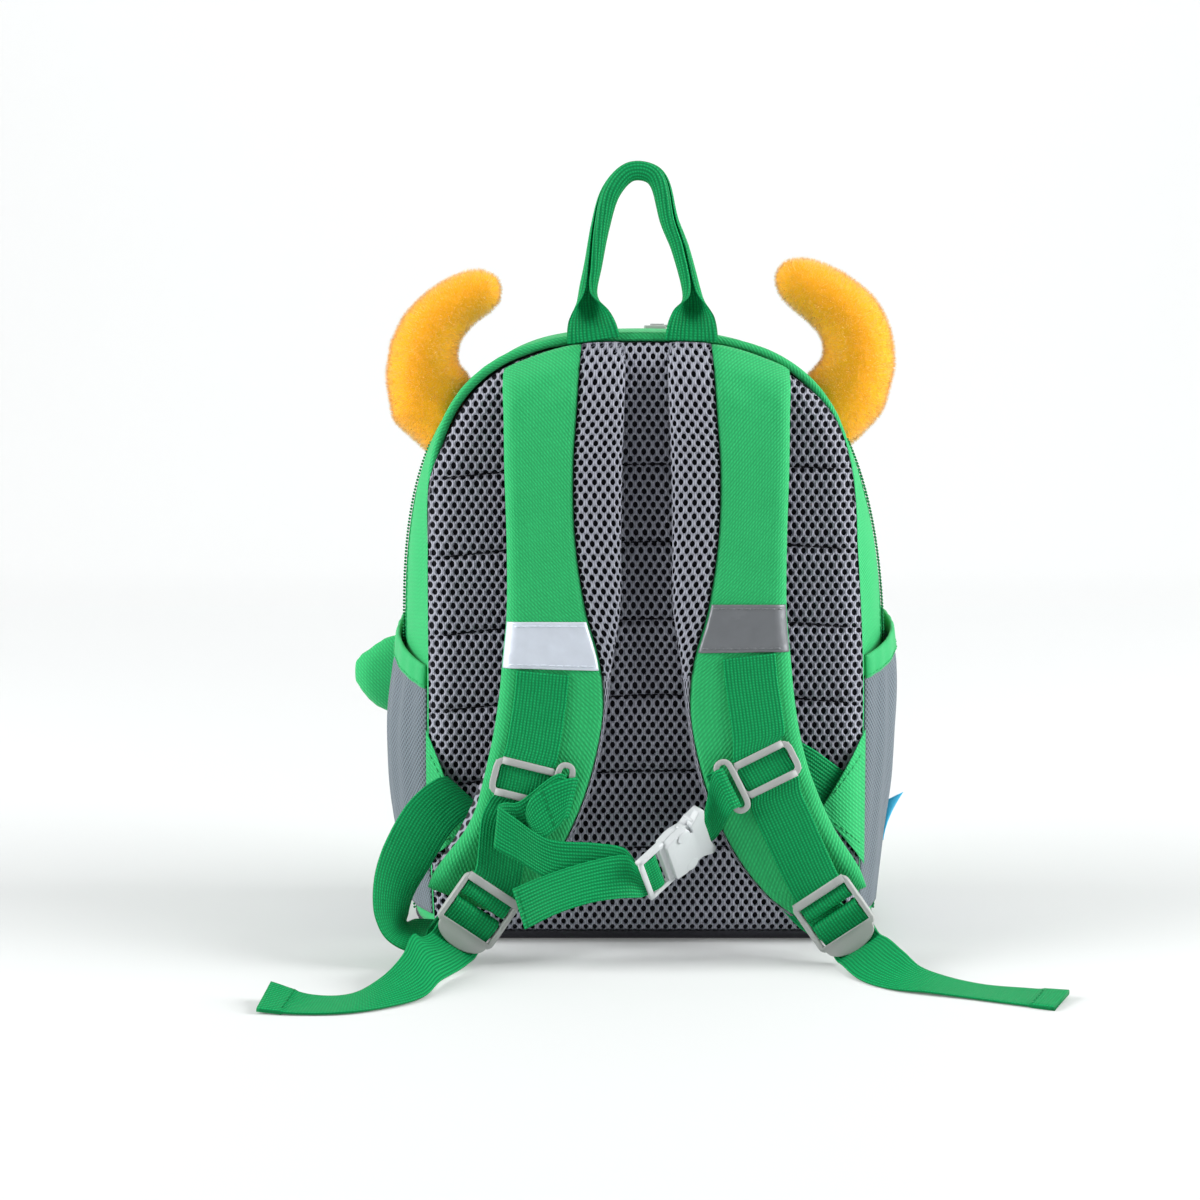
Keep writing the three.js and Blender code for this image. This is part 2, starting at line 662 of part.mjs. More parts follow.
const RIGHT_START = [
  point(91, -71.5, 77, -0.77, -0.42, -0.64),
  point(81, -73, 88, -0.74, -0.2, -0.67),
  point(71, -75, 95, -0.5, 0, -0.87),
  point(62, -77, 95, 0.1, 0, -1),
  point(55.5, -78.5, 88, 0.8, 0, -0.6),
  point(54.5, -80, 74, 1, 0, -0.05),
  point(58.5, -82, 56, 0.97, 0, 0.25),
  point(67, -85, 38, 0.92, -0.1, 0.38),
  point(79, -89.5, 23, 0.88, -0.15, 0.42),
  point(88.5, -95.5, 15.5, 0.88, -0.22, 0.41),
];
const RIGHT_TAIL = [
  point(97, -117.5, 9.6, 0.82, -0.08, 0.5),
  point(105, -135, 11.4, 0.55, 0.25, 0.8),
  point(117, -147, 8.6, 0.5, 0.6, 0.6),
  point(130, -154, 3.2, 0.48, 0.85, 0.16),
  point(146, -161, 1, 0.46, 0.88, 0),
  point(166, -172, 1.4, 0.38, 0.92, 0.04),
  point(182, -181, 2, 0.42, 0.9, 0.08),
];
const LEFT_START = [
  point(-93.5, -74, 65.5, -0.74, 0, 0.68),
  point(-88, -74.6, 71.5, -0.74, 0, 0.68),
  point(-85.5, -77.5, 75, -0.74, 0, 0.68),
  point(-90, -81.5, 75.5, -0.76, 0, 0.65),
  point(-101, -88, 68, -0.85, 0, 0.52),
  point(-112, -97, 51, -0.85, -0.2, 0.5),
  point(-118.5, -103, 35.5, -0.7, -0.6, 0.35),
  point(-119.5, -106.5, 23.5, -0.55, -0.8, 0.15),
  point(-117, -108.5, 16.5, -0.3, -0.93, -0.1),
  point(-109, -107.5, 14, -0.08, -0.9, -0.4),
  point(-100, -104, 15, -0.3, -0.9, -0.15),
  point(-92, -100, 15, -0.75, -0.55, 0.25),
];
const LEFT_TAIL = [
  point(-91, -118, 9.6, -0.82, -0.08, 0.5),
  point(-100, -140, 11.4, -0.55, 0.28, 0.78),
  point(-106, -163, 8.2, -0.42, 0.65, 0.55),
  point(-115, -174, 4.8, -0.3, 0.9, 0.3),
  point(-132, -186, 2, 0, 0.99, 0.08),
  point(-152, -188, 2, 0.15, 0.98, 0.08),
  point(-170, -185, 4.8, 0.15, 0.96, 0.25),
];

// Chest strap: right end is a short sewn loop, left end is adjustable with a free tail.
const looped = (frame, places) =>
  places.map(([u, n]) => ({ at: spot(frame, u, 0, n), across: frame.v.clone(), tight: true }));
const chestFrame = { ...buckleFrame, u: buckleFrame.u.clone().negate() };

function chestRight() {
  const slider = sliderFrame(1);
  const bar = LOOP_BAR;
  const low = LOOP_LIFT;
  const rows = [
    [bar - 5.5, low - 1.2],
    [bar - 2.5, low - 1.9],
    [bar + 1.2, low - 2.1],
    [bar + 2.8, low - 1],
    [bar + 2.8, low + 1],
    [bar + 1.2, low + 2.2],
    [bar - 1.2, low + 2.6],
  ];
  const ends = [[21.8, 1.9], [18.2, 1.6], [16.9, 0.4], [16.9, -1.2], [18.2, -2.4], [22.5, -2.5]];
  return ribbon([...looped(slider, rows), ...threaded(chestFrame, ends)], CHEST_WEBBING, WEB_THICK);
}

function chestLeft() {
  const slider = sliderFrame(-1);
  const bar = LOOP_BAR;
  const low = LOOP_LIFT;
  const tail = [
    point(-61, -114, 27, 0.25, 0, 0.97),
    point(-41, -113.5, 33, 0.25, 0, 0.97),
    point(-22, -112, 38.5, 0.3, -0.1, 0.95),
  ];
  const around = [
    [-26, 0.1],
    [-20, -0.6],
    [-15.5, 0.9],
    [-12.4, 1.2],
    [-10.8, 0.2],
    [-10.8, -1.5],
    [-12.4, -2.5],
    [-19, -2.4],
    [-26, -2.9],
  ];
  const fold = [
    point(-24, -107.5, 47, 0.1, 0, 1),
    point(-46, -109.4, 51, -0.2, 0.1, 0.98),
    point(-62, -110, 58, -0.3, 0.18, 0.93),
    point(-70.5, -108.2, 63.5, -0.3, 0.2, 0.93),
    point(-65, -105.6, 66, -0.25, 0.2, 0.94),
    point(-54, -105, 71.5, -0.1, 0.18, 0.97),
  ];
  const loop = [
    [-9, 5],
    [-14.6, 4.9],
    [bar + 3.4, low + 1.9],
    [bar + 2.9, low],
    [bar + 2.7, low - 1.4],
    [bar + 1.2, low - 2.1],
    [bar - 1.2, low - 2.1],
    [bar - 2.4, low - 0.8],
    [bar - 2.4, low + 1.4],
    [bar - 1, low + 3],
    [-15, 6.6],
    [-2, 6.8],
  ];
  const rows = [...tail, ...threaded(chestFrame, around), ...fold, ...looped(slider, loop)];
  return ribbon(rows, CHEST_WEBBING, WEB_THICK);
}

// Side-release buckle in its own frame: v along the strap, u across, n to the front.
function extruded(corners, low, high) {
  const shape = new THREE.Shape(corners.map(([u, v]) => new THREE.Vector2(u, v)));
  const geometry = new THREE.ExtrudeGeometry(shape, { depth: high - low, bevelEnabled: false });
  return geometry.translate(0, 0, low);
}

function buckleSocket() {
  const right = [[11, 1], [12.4, 4], [12.4, 12], [11.6, 21]];
  const left = right.map(([u, v]) => [-u, v]).reverse();
  let solid = toSolid(extruded([...right, ...left], -4.2, 4.2));
  [
    block([-9.6, -1, -2.3], [9.6, 13.6, 2.3]),
    block([-20, 5.4, -2.3], [20, 12.4, 2.3]),
    block([-10.7, 15, -9], [10.7, 18.6, 9]),
    block([-10.7, 15, 3], [10.7, 25, 9]),
    block([-10.7, 15, -9], [10.7, 25, -3.7]),
    block([-10.7, 18, 0.6], [10.7, 25, 9]),
    block([-10.7, 18, -9], [10.7, 25, -1.4]),
  ].forEach((cutter) => {
    solid = solid.subtract(toSolid(cutter));
  });
  return bake(fromSolid(solid), buckleFrame);
}

function buckleProng() {
  const arm = [[5.6, 0], [9.2, 0], [9.2, 5.8], [11.8, 6.4], [11.4, 9], [9, 12], [6.6, 12], [6.6, 4]];
  const parts = [
    extruded([[-11.6, -8.4], [11.6, -8.4], [10.6, 0.6], [-10.6, 0.6]], -1.8, 1.8),
    extruded(arm, -1.8, 1.8),
    extruded(arm.map(([u, v]) => [-u, v]).reverse(), -1.8, 1.8),
    extruded([[-2, 0], [2, 0], [1.4, 11], [-1.4, 11]], -1.6, 1.6),
    block([10.8, -21, -1.8], [12.8, -8, 1.8]),
    block([-12.8, -21, -1.8], [-10.8, -8, 1.8]),
    block([-12.8, -21, 0.5], [12.8, -18.8, 1.8]),
    block([-12.8, -14.2, -1.5], [12.8, -12, 0.2]),
  ];
  return bake(fromSolid(joined(parts)), buckleFrame);
}

// Fabric triangle at each lower corner, over the edge of the back panel. The right one reaches further in.
const WING_ROWS = {
  right: [
    { x: 108.5, y: -59.4, low: 38, high: 104 },
    { x: 99, y: -69, low: 48, high: 93 },
    { x: 91.5, y: -73.9, low: 57, high: 81 },
    { x: 84, y: -75.6, low: 65, high: 69 },
  ],
  left: [
    { x: 108.5, y: -59.4, low: 40, high: 104 },
    { x: 97.5, y: -68.8, low: 47, high: 85.5 },
    { x: 92.6, y: -70.4, low: 51, high: 71.5 },
    { x: 88, y: -71, low: 54.5, high: 58.5 },
  ],
};

function anchorWing(side) {
  const rows = side < 0 ? WING_ROWS.left : WING_ROWS.right;
  return loft(rows.map((r) => [
    v3(side * r.x, r.y, r.low),
    v3(side * r.x, r.y, r.high),
    v3(side * r.x, r.y - CLOTH, r.high),
    v3(side * r.x, r.y - CLOTH, r.low),
  ]));
}

// Grab handle: flat at the sewn ends, folded lengthwise in the hand.
const HANDLE_THICK = 1.4;
const HANDLE_ROWS = [
  { x: -24.4, y: -61.3, z: 290.5, ax: 1, ay: 0, az: 0, width: 24 },
  { x: -24.8, y: -61.3, z: 299, ax: 1, ay: 0.1, az: 0, width: 18 },
  { x: -27, y: -60, z: 311, ax: 0.75, ay: 0.66, az: 0, width: 12.5 },
  { x: -23.4, y: -58, z: 333, ax: 0.7, ay: 0.7, az: 0.1, width: 12.5 },
  { x: -19.6, y: -57, z: 350, ax: 0.68, ay: 0.7, az: -0.15, width: 12.5 },
  { x: -13, y: -57, z: 364, ax: 0.45, ay: 0.7, az: -0.5, width: 12.5 },
  { x: -2, y: -57, z: 369.8, ax: 0, ay: 0.7, az: -0.7, width: 12.5 },
  { x: 8.2, y: -57, z: 365, ax: -0.5, ay: 0.7, az: -0.5, width: 12.5 },
  { x: 11.4, y: -57, z: 350, ax: -0.7, ay: 0.7, az: -0.1, width: 12.5 },
  { x: 15.4, y: -58, z: 333, ax: -0.7, ay: 0.7, az: -0.1, width: 12.5 },
  { x: 21.6, y: -60, z: 313, ax: -0.72, ay: 0.7, az: -0.1, width: 12.5 },
  { x: 23.4, y: -61.3, z: 301, ax: -1, ay: 0.1, az: 0, width: 17 },
  { x: 23.2, y: -61.3, z: 290.5, ax: -1, ay: 0, az: 0, width: 24 },
];

function grabHandle() {
  const rows = HANDLE_ROWS.map((row) => {
    const { x, y, z, ax, ay, az, width } = row;
    return { ...point(x, y, z, ax, ay, az), width };
  });
  return ribbon(rows, WEBBING, HANDLE_THICK);
}

// Everything inside the gussets' outer face, a little enlarged, to cut the horns' feet.
function bodyEnvelope() {
  const depths = [BACK, ...REAR_DEPTHS, ...FRONT_DEPTHS, FRONT];
  return toSolid(loft(depths.map((depth) => archAt(depth, GAP)))).add(toSolid(zipChain(GAP)));
}

function horn(side) {
  const rows = side < 0 ? HORN_ROWS.left : HORN_ROWS.right;
  const path = new THREE.CatmullRomCurve3(rows.map((r) => v3(side * r.x, 0, r.z)));
  const radii = rows.map((r) => v3(r.radius, 0, 0));
  const sizes = new THREE.CatmullRomCurve3(radii, false, "catmullrom", 0.5);
  const rings = steps(HORN_STEPS).map((t) => {
    const at = path.getPoint(t);
    const along = path.getTangent(t);
    const across = v3(0, 1, 0);
    const up = along.clone().cross(across);
    const radius = sizes.getPoint(t).x;
    return steps(HORN_SIDES).slice(1).map((s) => {
      const a = s * Math.PI * 2;
      const out = at.clone().addScaledVector(across, radius * Math.cos(a));
      return out.addScaledVector(up, radius * Math.sin(a));
    });
  });
  return fromSolid(toSolid(loft(rings)).subtract(bodyEnvelope()));
}

// Stuffed lobe that stands out past the left edge of the front panel.
const FIN_ROWS = [
  { x: -78, low: 100, high: 128, half: 5.6 },
  { x: -92, low: 94, high: 134, half: 8 },
  { x: -110, low: 89, high: 138.5, half: 11 },
  { x: -130, low: 89, high: 136, half: 11 },
  { x: -145, low: 97, high: 128, half: 8 },
  { x: -152, low: 107, high: 122, half: 3 },
];
const FIN_DEPTH = 71;

function frontFin() {
  return loft(steps(10).map((t) => {
    const x = FIN_ROWS[0].x + t * (FIN_ROWS[FIN_ROWS.length - 1].x - FIN_ROWS[0].x);
    const rows = FIN_ROWS.map((r) => ({ ...r, run: -r.x }));
    const low = column(rows, "run", "low", -x);
    const high = column(rows, "run", "high", -x);
    const half = column(rows, "run", "half", -x);
    const middle = (low + high) / 2;
    return steps(10).slice(1).map((s) => {
      const a = s * Math.PI * 2;
      return v3(x, FIN_DEPTH + half * Math.cos(a), middle + ((high - low) / 2) * Math.sin(a));
    });
  }));
}

// Plain folded tab on the right pocket.
function sideLabel() {
  const rows = [44, 50, 57, 64].map((z, i) => {
    const root = pocketPoint(1, 0.5, z, POCKET_WALL + GAP);
    const reach = 2.5 + i * 1.3;
    return [
      root,
      v3(root.x + reach, root.y - 1, root.z + i),
      v3(root.x + reach, root.y + 1, root.z + i),
      v3(root.x, root.y + 1.6, root.z),
    ];
  });
  return loft(rows);
}

// Slider of the zip, on top of the chain, with its pull laid along it.
function zipSlider() {
  const line = archAt((ZIP_FROM + ZIP_TO) / 2, 0);
  const top = line[ARCH_STEPS / 2];
  const parts = [
    block([2, -3.2, ZIP_RISE + GAP], [13, 3.2, ZIP_RISE + 3.4]),
    block([11, -2.4, ZIP_RISE + 1.4], [32, 2.4, ZIP_RISE + 3]),
  ];
  return outward(fromSolid(joined(parts)).translate(top.x, top.y, top.z));
}

// Looks of each material, as plain colour and finish.
const MATERIALS = {
  twill: { color: 0x27b35a, roughness: 0.85 },
  webbing: { color: 0x0b9a4e, roughness: 0.8 },
  mesh: { color: 0x8e8e98, roughness: 0.9 },
  pocketMesh: { color: 0x7d818c, roughness: 0.9 },
  base: { color: 0x2a2a33, roughness: 0.9 },
  plush: { color: 0xf2b233, roughness: 1 },
  tape: { color: 0xb4b8bd, roughness: 0.4 },
  greyPlastic: { color: 0xa9aba8, roughness: 0.5 },
  palePlastic: { color: 0xd5d7d6, roughness: 0.45 },
  label: { color: 0x33b5e0, roughness: 0.8 },
};

const bag = new THREE.Group();
bag.name = "kids_backpack";

function add(name, geometry, look) {
  const material = new THREE.MeshStandardMaterial({ ...MATERIALS[look], metalness: 0 });
  const mesh = new THREE.Mesh(geometry, material);
  mesh.name = name;
  bag.add(mesh);
}

add("back_panel", backPanel(), "mesh");
add("back_piping", piping(BACK), "twill");
add("gusset_rear", gusset(REAR_DEPTHS), "twill");
add("zip_chain", zipChain(0), "webbing");
add("zip_slider", zipSlider(), "greyPlastic");
add("gusset_front", gusset(FRONT_DEPTHS), "twill");
add("front_piping", piping(FRONT), "twill");
add("front_panel", frontPanel(), "twill");
add("bottom_panel", bottomPanel(), "base");
add("side_label", sideLabel(), "label");
add("chest_webbing_left", chestLeft(), "webbing");
add("chest_webbing_right", chestRight(), "webbing");
add("buckle_socket", buckleSocket(), "palePlastic");
add("buckle_prong", buckleProng(), "palePlastic");
add("grab_handle", grabHandle(), "webbing");
add("front_fin", frontFin(), "twill");
add("adjuster_webbing_left", adjuster(-1, LEFT_START, LEFT_TAIL), "webbing");
add("adjuster_webbing_right", adjuster(1, RIGHT_START, RIGHT_TAIL), "webbing");

Object.entries(sides).forEach(([name, side]) => {
  add(`pocket_${name}`, pocket(side), "pocketMesh");
  add(`pocket_band_${name}`, pocketBand(side), "webbing");
  add(`shoulder_strap_${name}`, strapFace(side), "twill");
  add(`strap_mesh_${name}`, strapLining(side), "mesh");
  add(`reflective_tape_${name}`, tape(side, TAPE_RUN[name]), "tape");
  add(`strap_webbing_${name}`, strapWebbing(side, TAPE_RUN[name] + TAPE_LENGTH + TAPE_TO_WEB), "webbing");
  add(`sternum_slider_${name}`, sternumSlider(side), "greyPlastic");
  add(`ladder_lock_${name}`, ladderLock(side), "greyPlastic");
  add(`anchor_wing_${name}`, anchorWing(side), "twill");
  add(`horn_${name}`, horn(side), "plush");
});

export default bag;
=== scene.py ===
"""Looks of a child's backpack with padded straps, mesh pockets and plush horns."""
import json
import math

import bmesh
import bpy
import numpy as np
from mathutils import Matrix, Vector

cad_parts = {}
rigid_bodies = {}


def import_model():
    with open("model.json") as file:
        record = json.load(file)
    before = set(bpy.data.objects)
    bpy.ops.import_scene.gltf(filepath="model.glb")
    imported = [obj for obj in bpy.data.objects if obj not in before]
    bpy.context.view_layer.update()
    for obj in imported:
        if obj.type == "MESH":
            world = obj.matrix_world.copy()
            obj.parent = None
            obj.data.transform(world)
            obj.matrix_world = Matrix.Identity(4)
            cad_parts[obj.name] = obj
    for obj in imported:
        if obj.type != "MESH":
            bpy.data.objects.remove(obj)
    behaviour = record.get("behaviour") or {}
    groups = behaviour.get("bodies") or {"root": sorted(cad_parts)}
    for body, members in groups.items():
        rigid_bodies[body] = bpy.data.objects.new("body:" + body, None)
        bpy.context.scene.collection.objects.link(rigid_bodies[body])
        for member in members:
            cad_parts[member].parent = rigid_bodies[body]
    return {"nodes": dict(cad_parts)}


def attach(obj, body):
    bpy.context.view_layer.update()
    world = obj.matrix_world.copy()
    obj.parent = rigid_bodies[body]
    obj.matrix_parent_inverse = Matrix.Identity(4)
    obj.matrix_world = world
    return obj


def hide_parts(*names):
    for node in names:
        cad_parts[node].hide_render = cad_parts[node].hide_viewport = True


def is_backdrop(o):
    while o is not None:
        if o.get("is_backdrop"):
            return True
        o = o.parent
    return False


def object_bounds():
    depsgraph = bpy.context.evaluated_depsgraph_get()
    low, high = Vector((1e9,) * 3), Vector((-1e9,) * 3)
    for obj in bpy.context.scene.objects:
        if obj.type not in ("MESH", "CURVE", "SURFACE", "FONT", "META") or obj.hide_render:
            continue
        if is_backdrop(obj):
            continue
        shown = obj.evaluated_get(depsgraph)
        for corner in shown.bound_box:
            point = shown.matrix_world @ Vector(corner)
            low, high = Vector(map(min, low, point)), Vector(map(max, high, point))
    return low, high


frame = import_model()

bl_info = {
    "name": "Child's backpack",
    "version": (1, 0, 0),
    "blender": (4, 5, 0),
    "location": "View3D > Sidebar > Backpack",
    "description": "Builds the cloth, padding, webbing, plush and plastic of a child's backpack",
    "category": "Object",
}

MM = 0.001
SIDES = {"left": -1, "right": 1}

# Body: arches across the bag at five depths, from the back seam to the front seam. All sizes in mm.
BODY = {
    "depth": [-58, -30, 0, 30, 58],
    "half_width": [101, 114, 119, 115, 102],
    "height": [292, 295.4, 291.4, 289, 283],
    "spring": [195, 140, 119, 128, 180],
    "flare": [8, 3, 0, 0, 0],
    "taper": [9, 6, 5, 5, 5],
}
BACK, FRONT = -58.0, 58.0
ARCH_POWER, FOOT = 2.85, 5.9
LEAN, LEAN_FROM, LEAN_TO = -2.4, 120.0, 240.0
GAP, CLOTH = 0.3, 1.6
PIPING_RADIUS = 2.2
PANEL_INSET = PIPING_RADIUS + GAP
ZIP_FROM, ZIP_TO, ZIP_RISE = -14.0, -7.0, 1.4
ARCH_RUN, ARCH_COUNT, PIPING_COUNT, STITCH_COUNT, COIL_COUNT = 700.0, 260, 400, 500, 440

# Quilted back, plain front and base.
SEAMS = [43, 79, 115, 151.5, 189, 227]
SEAM_SINK, SEAM_BOW, SEAM_TILT, SEAM_TOP = 2.9, 6.0, 2.2, 286.0
SEAM_MIDDLE, SEAM_SOFT, SEAM_FIRM = 12.0, 0.75, 0.8
SEAM_PULL, SEAM_PULL_RUN = 0.34, 4.5
CHANNEL, CHANNEL_HALF, CHANNEL_LOW, CHANNEL_HIGH, CHANNEL_FADE = 3.6, 11.0, 95.0, 275.0, 40.0
PANEL_EDGE, PANEL_PAD, PANEL_ROLL = 3.0, 5.0, 13.0
PANEL_OVER, OVER_TOP, OVER_FADE = 4.2, {"left": 250.0, "right": 282.0}, 30.0
FRONT_DOME, FRONT_HIGH = 9.0, 280.5
BASE_RIM, BASE_ROUND, BASE_FLAT = 5.6, 3.6, 26.0
# Rows up each panel: even as far as its arch, then closer together towards the top.
BACK_ROWS = np.append(np.linspace(BASE_RIM + GAP, 270, 150), 289.2 - 19 * np.linspace(0.92, 0.02, 12) ** 1.5)
FRONT_ROWS = np.append(np.linspace(FOOT, 262, 80), 280.3 - 18 * np.linspace(0.95, 0.01, 14) ** 1.5)
# Nets: from where to where their holes go, across and along the cloth.
BACK_NET = (-106.3, 107.0, BASE_RIM + 2, 291.0)
STRAP_NET = (1.2, 32.0, 0.8, 168.0)
# A hole's half width and height as shares of the pitch and the row, and how far the knit sinks at the
# strands' sides, at their crossings, at a hole's rim and at the foot of its wall.
HOLE_WIDE, HOLE_TALL, HOLE_TAPER, NET_STEP = 0.29, 0.5, 0.9, 0.02
SIDE_SINK, CROSSING_SINK, RIM_SINK, WALL_SINK = -0.25, 0.1, 0.6, 2.1

# Side pockets: how far the mesh stands off the side at each height.
BULGE = {
    "height": [12, 27, 48, 75, 100, 125, 150, 170],
    "left": [1.4, 4, 6.4, 8, 8.4, 4.8, 1.6, 1.2],
    "right": [0.6, 1.2, 2.6, 4.6, 5.8, 5.4, 3.8, 3.2],
}
POCKET_BACK, POCKET_FRONT, POCKET_FOOT = -53.0, 50.0, 12.0
POCKET_TOP_BACK, POCKET_TOP_FRONT = {-1: 134.0, 1: 139.0}, 160.0
POCKET_WALL, BAND_HEIGHT, BAND_WALL = 1.4, 11.5, 2.6
GATHERS, GATHER_DEEP, CREASE_DEEP = 7, 1.15, 0.5
TAB_FOOT, TAB_HEIGHT, TAB_ROOT, TAB_REACH, TAB_LIFT = 38.0, 20.5, 0.9, 7.3, 4.0

# Right shoulder strap, one column a section down its run; the left strap is its mirror.
STRAP = {
    "run": [0, 12, 26, 59, 92, 125, 148, 170, 193, 216, 242, 262, 274],
    "mesh": [21, 21.5, 22, 22.8, 21.4, 16, 6, 1.6, 1.6, 1.6, 1.6, 1.6, 1.6],
    "thick": [4.6, 7, 9, 9, 9, 9, 9, 9, 9, 9, 9, 8, 5],
    "inner_x": [10, 10.2, 10.5, 11.5, 12, 12.5, 16, 18.5, 23, 31, 42.5, 56, 68],
    "inner_y": [-64.1, -70, -74, -78.5, -81, -83, -84, -85, -87, -89, -91, -92, -93],
    "inner_z": [289, 276, 261, 230, 197, 164, 140, 117, 91, 67, 45.5, 29, 19.5],
    "outer_x": [68, 68, 67.5, 67, 66, 66, 68, 70, 73.5, 79, 88, 99.5, 103],
    "outer_y": [-63.9, -69.6, -73.6, -78.3, -81, -83, -84, -85, -87.5, -91, -95.5, -99.5, -101],
    "outer_z": [276.5, 268, 256, 229, 197, 164, 141, 121, 100.5, 82.5, 62.5, 44.5, 35.5],
}
STRAP_END, STRAP_FOOT, STRAP_FOOT_RUN, WEBBING_SHARE = 274.0, 264.0, 10.5, 0.62
STRAP_ROWS = np.linspace(0, STRAP_END, 150)
GREEN_INNER_ROUND, GREEN_OUTER_ROUND = 4.5, 7.0
LINING_TOP, LINING_ROUND, LINING_TURN = -1.1, 4.0, 7.5
# Painted shade: strap padding above this height and nearer the bag's middle than this takes the near-black
# pile.
SHADE_PAINTED_ABOVE, SHADE_PAINTED_WITHIN = 133.0, 40.0
STRAP_CROWN, STRAP_CROWN_RUN, STRAP_TUCK, STRAP_TUCK_RUN = 4.0, 45.0, 2.6, 14.0
BARE_EDGE, BARE_MIDDLE, BARE_RUN = 3.0, 236.0, 24.0
TAPE_RUN = {"left": 130.0, "right": 122.0}
TAPE_LENGTH, TAPE_THICK, TAPE_TO_WEB = 22.0, 0.6, 1.6

# Webbing and hardware.
WEBBING, CHEST_WEBBING, WEB_THICK = 25.0, 20.0, 1.2
TAIL_HEM, TAIL_SEAM = 13.0, -11.5
CHEST_ROUND, CHEST_SEAMS, CHEST_SLIP = 8.0, (2.5, -12.0), -2.2
SLIDER_RUN, SLIDER_TURN, SLIDER_LIFT = {-1: 207.5, 1: 201.0}, {-1: -0.08, 1: 0.18}, 2.6
SLIDER_REACH, SLIDER_HOLD, SEWN_TO = 16.0, 9.0, 234.0
SLIDER_HALF = WEBBING / 2 + 0.7
SLIDER_OUTER = SLIDER_HALF + 2.2
LOOP_BAR, LOOP_LIFT = -SLIDER_OUTER - 5.8, 2.3
LOCK_AT = {-1: (79, -107.6, 25.5), 1: (87.4, -107.6, 24)}
LOCK_UP, LOCK_ACROSS = (-0.57, 0.12, 0.81), (0.8, -0.22, 0.56)
BUCKLE_AT, BUCKLE_AXIS, BUCKLE_ACROSS = (12.8, -103, 52), (0.70, 0.45, 0.55), (0.2, 0.54, -0.82)

# Webbing paths: a place and the direction across the webbing at each row.
RIGHT_START = [
    (91, -71.5, 72.5, -0.6, -0.3, -0.74),
    (81, -73, 80, -0.6, -0.15, -0.79),
    (71, -75, 87.4, -0.58, 0, -0.81),
    (62.5, -77, 91, -0.2, 0, -0.98),
    (56, -78.5, 86, 0.6, 0, -0.8),
    (54.5, -80, 74, 1, 0, -0.05),
    (58.5, -82, 56, 0.97, 0, 0.25),
    (67, -85, 38, 0.92, -0.1, 0.38),
    (79, -89.5, 23, 0.88, -0.15, 0.42),
    (88.5, -95.5, 15.5, 0.88, -0.22, 0.41),
]
RIGHT_TAIL = [
    (101, -119, 8.8, 0.8, -0.08, 0.52),
    (107, -135, 6.4, 0.7, 0.3, 0.4),
    (117, -147, 3.6, 0.55, 0.75, 0.22),
    (130, -154, 2.2, 0.48, 0.87, 0.06),
    (146, -161, 1, 0.46, 0.88, 0),
    (166, -172, 1.4, 0.38, 0.92, 0.04),
    (182, -181, 2, 0.42, 0.9, 0.08),
]
LEFT_START = [
    (-93.5, -74, 65.5, -0.74, 0, 0.68),
    (-88, -74.6, 71.5, -0.74, 0, 0.68),
    (-85.5, -77.5, 75, -0.74, 0, 0.68),
    (-90, -81.5, 75.5, -0.76, 0, 0.65),
    (-101, -88, 68, -0.85, 0, 0.52),
    (-112, -97, 51, -0.85, -0.2, 0.5),
    (-118.5, -103, 35.5, -0.7, -0.6, 0.35),
    (-119.5, -106.5, 23.5, -0.55, -0.8, 0.15),
    (-117, -108.5, 16.5, -0.3, -0.93, -0.1),
    (-109, -107.5, 14, -0.08, -0.9, -0.4),
    (-100, -104, 15, -0.3, -0.9, -0.15),
    (-92, -100, 15, -0.75, -0.55, 0.25),
]
LEFT_TAIL = [
    (-94, -120, 9.4, -0.8, -0.08, 0.52),
    (-101, -140, 11.2, -0.55, 0.28, 0.78),
    (-106, -163, 8.2, -0.42, 0.65, 0.55),
    (-115, -174, 4.8, -0.3, 0.9, 0.3),
    (-132, -186, 2, 0, 0.99, 0.08),
    (-152, -188, 2, 0.15, 0.98, 0.08),
    (-170, -185, 4.8, 0.15, 0.96, 0.25),
]
CHEST_TAIL = [
    (-59.8, -115, 28, -0.3, 0.35, 0.88),
    (-42.8, -116.6, 36, -0.15, 0.5, 0.85),
    (-23, -116.6, 42, -0.05, 0.45, 0.89),
    (-8.5, -114, 43.2, -0.12, 0.1, 0.99),
]
CHEST_FOLD = [
    (-10, -110.3, 46.2, -0.1, 0, 1),
    (-24, -108.4, 48, 0, 0, 1),
    (-45, -109.2, 50, -0.1, 0.08, 0.99),
    (-61, -110, 60, -0.05, 0.12, 0.99),
    (-70, -108.4, 66, 0.1, 0.2, 0.97),
    (-65, -105.6, 66.5, -0.1, 0.2, 0.97),
    (-57, -104.2, 67, -0.3, 0.15, 0.94),
]
CHEST_FLAP = [
    (-45, -103.4, 73.5, -0.3, 0.1, 0.94),
    (-55.5, -107.2, 65.5, -0.42, 0.1, 0.9),
]
# Places in the frame of a lock, buckle or slider: along it, and in front of its middle.
OVER_LOCK = [(16, -1.9), (11.6, -1.2), (8.5, -0.2), (5.8, 0.4), (3.7, -0.3), (3.2, -2.2)]
UP_LOCK = [(-9, -6.5), (-3, -5.4), (0.3, -3.6), (0.2, -1.6)]
DOWN_LOCK = [(-1, 0.1), (-3, 0.5), (-6, -0.1), (-10, -1.3), (-14, -2), (-18.8, -1.2)]
ROUND_PRONG = [
    (-20, -0.6), (-15.5, 0.9), (-12.4, 1.2), (-10.8, 0.2),
    (-10.8, -1.5), (-12.4, -2.5), (-19, -2.4),
]
ROUND_SOCKET = [(21.8, 1.9), (18.2, 1.6), (16.9, 0.4), (16.9, -1.2), (18.2, -2.4), (22.5, -2.5)]
RIGHT_LOOP = [(-5.5, -1.2), (-2.5, -1.9), (1.2, -2.1), (2.8, -1), (2.8, 1), (1.2, 2.2), (-1.2, 2.6)]
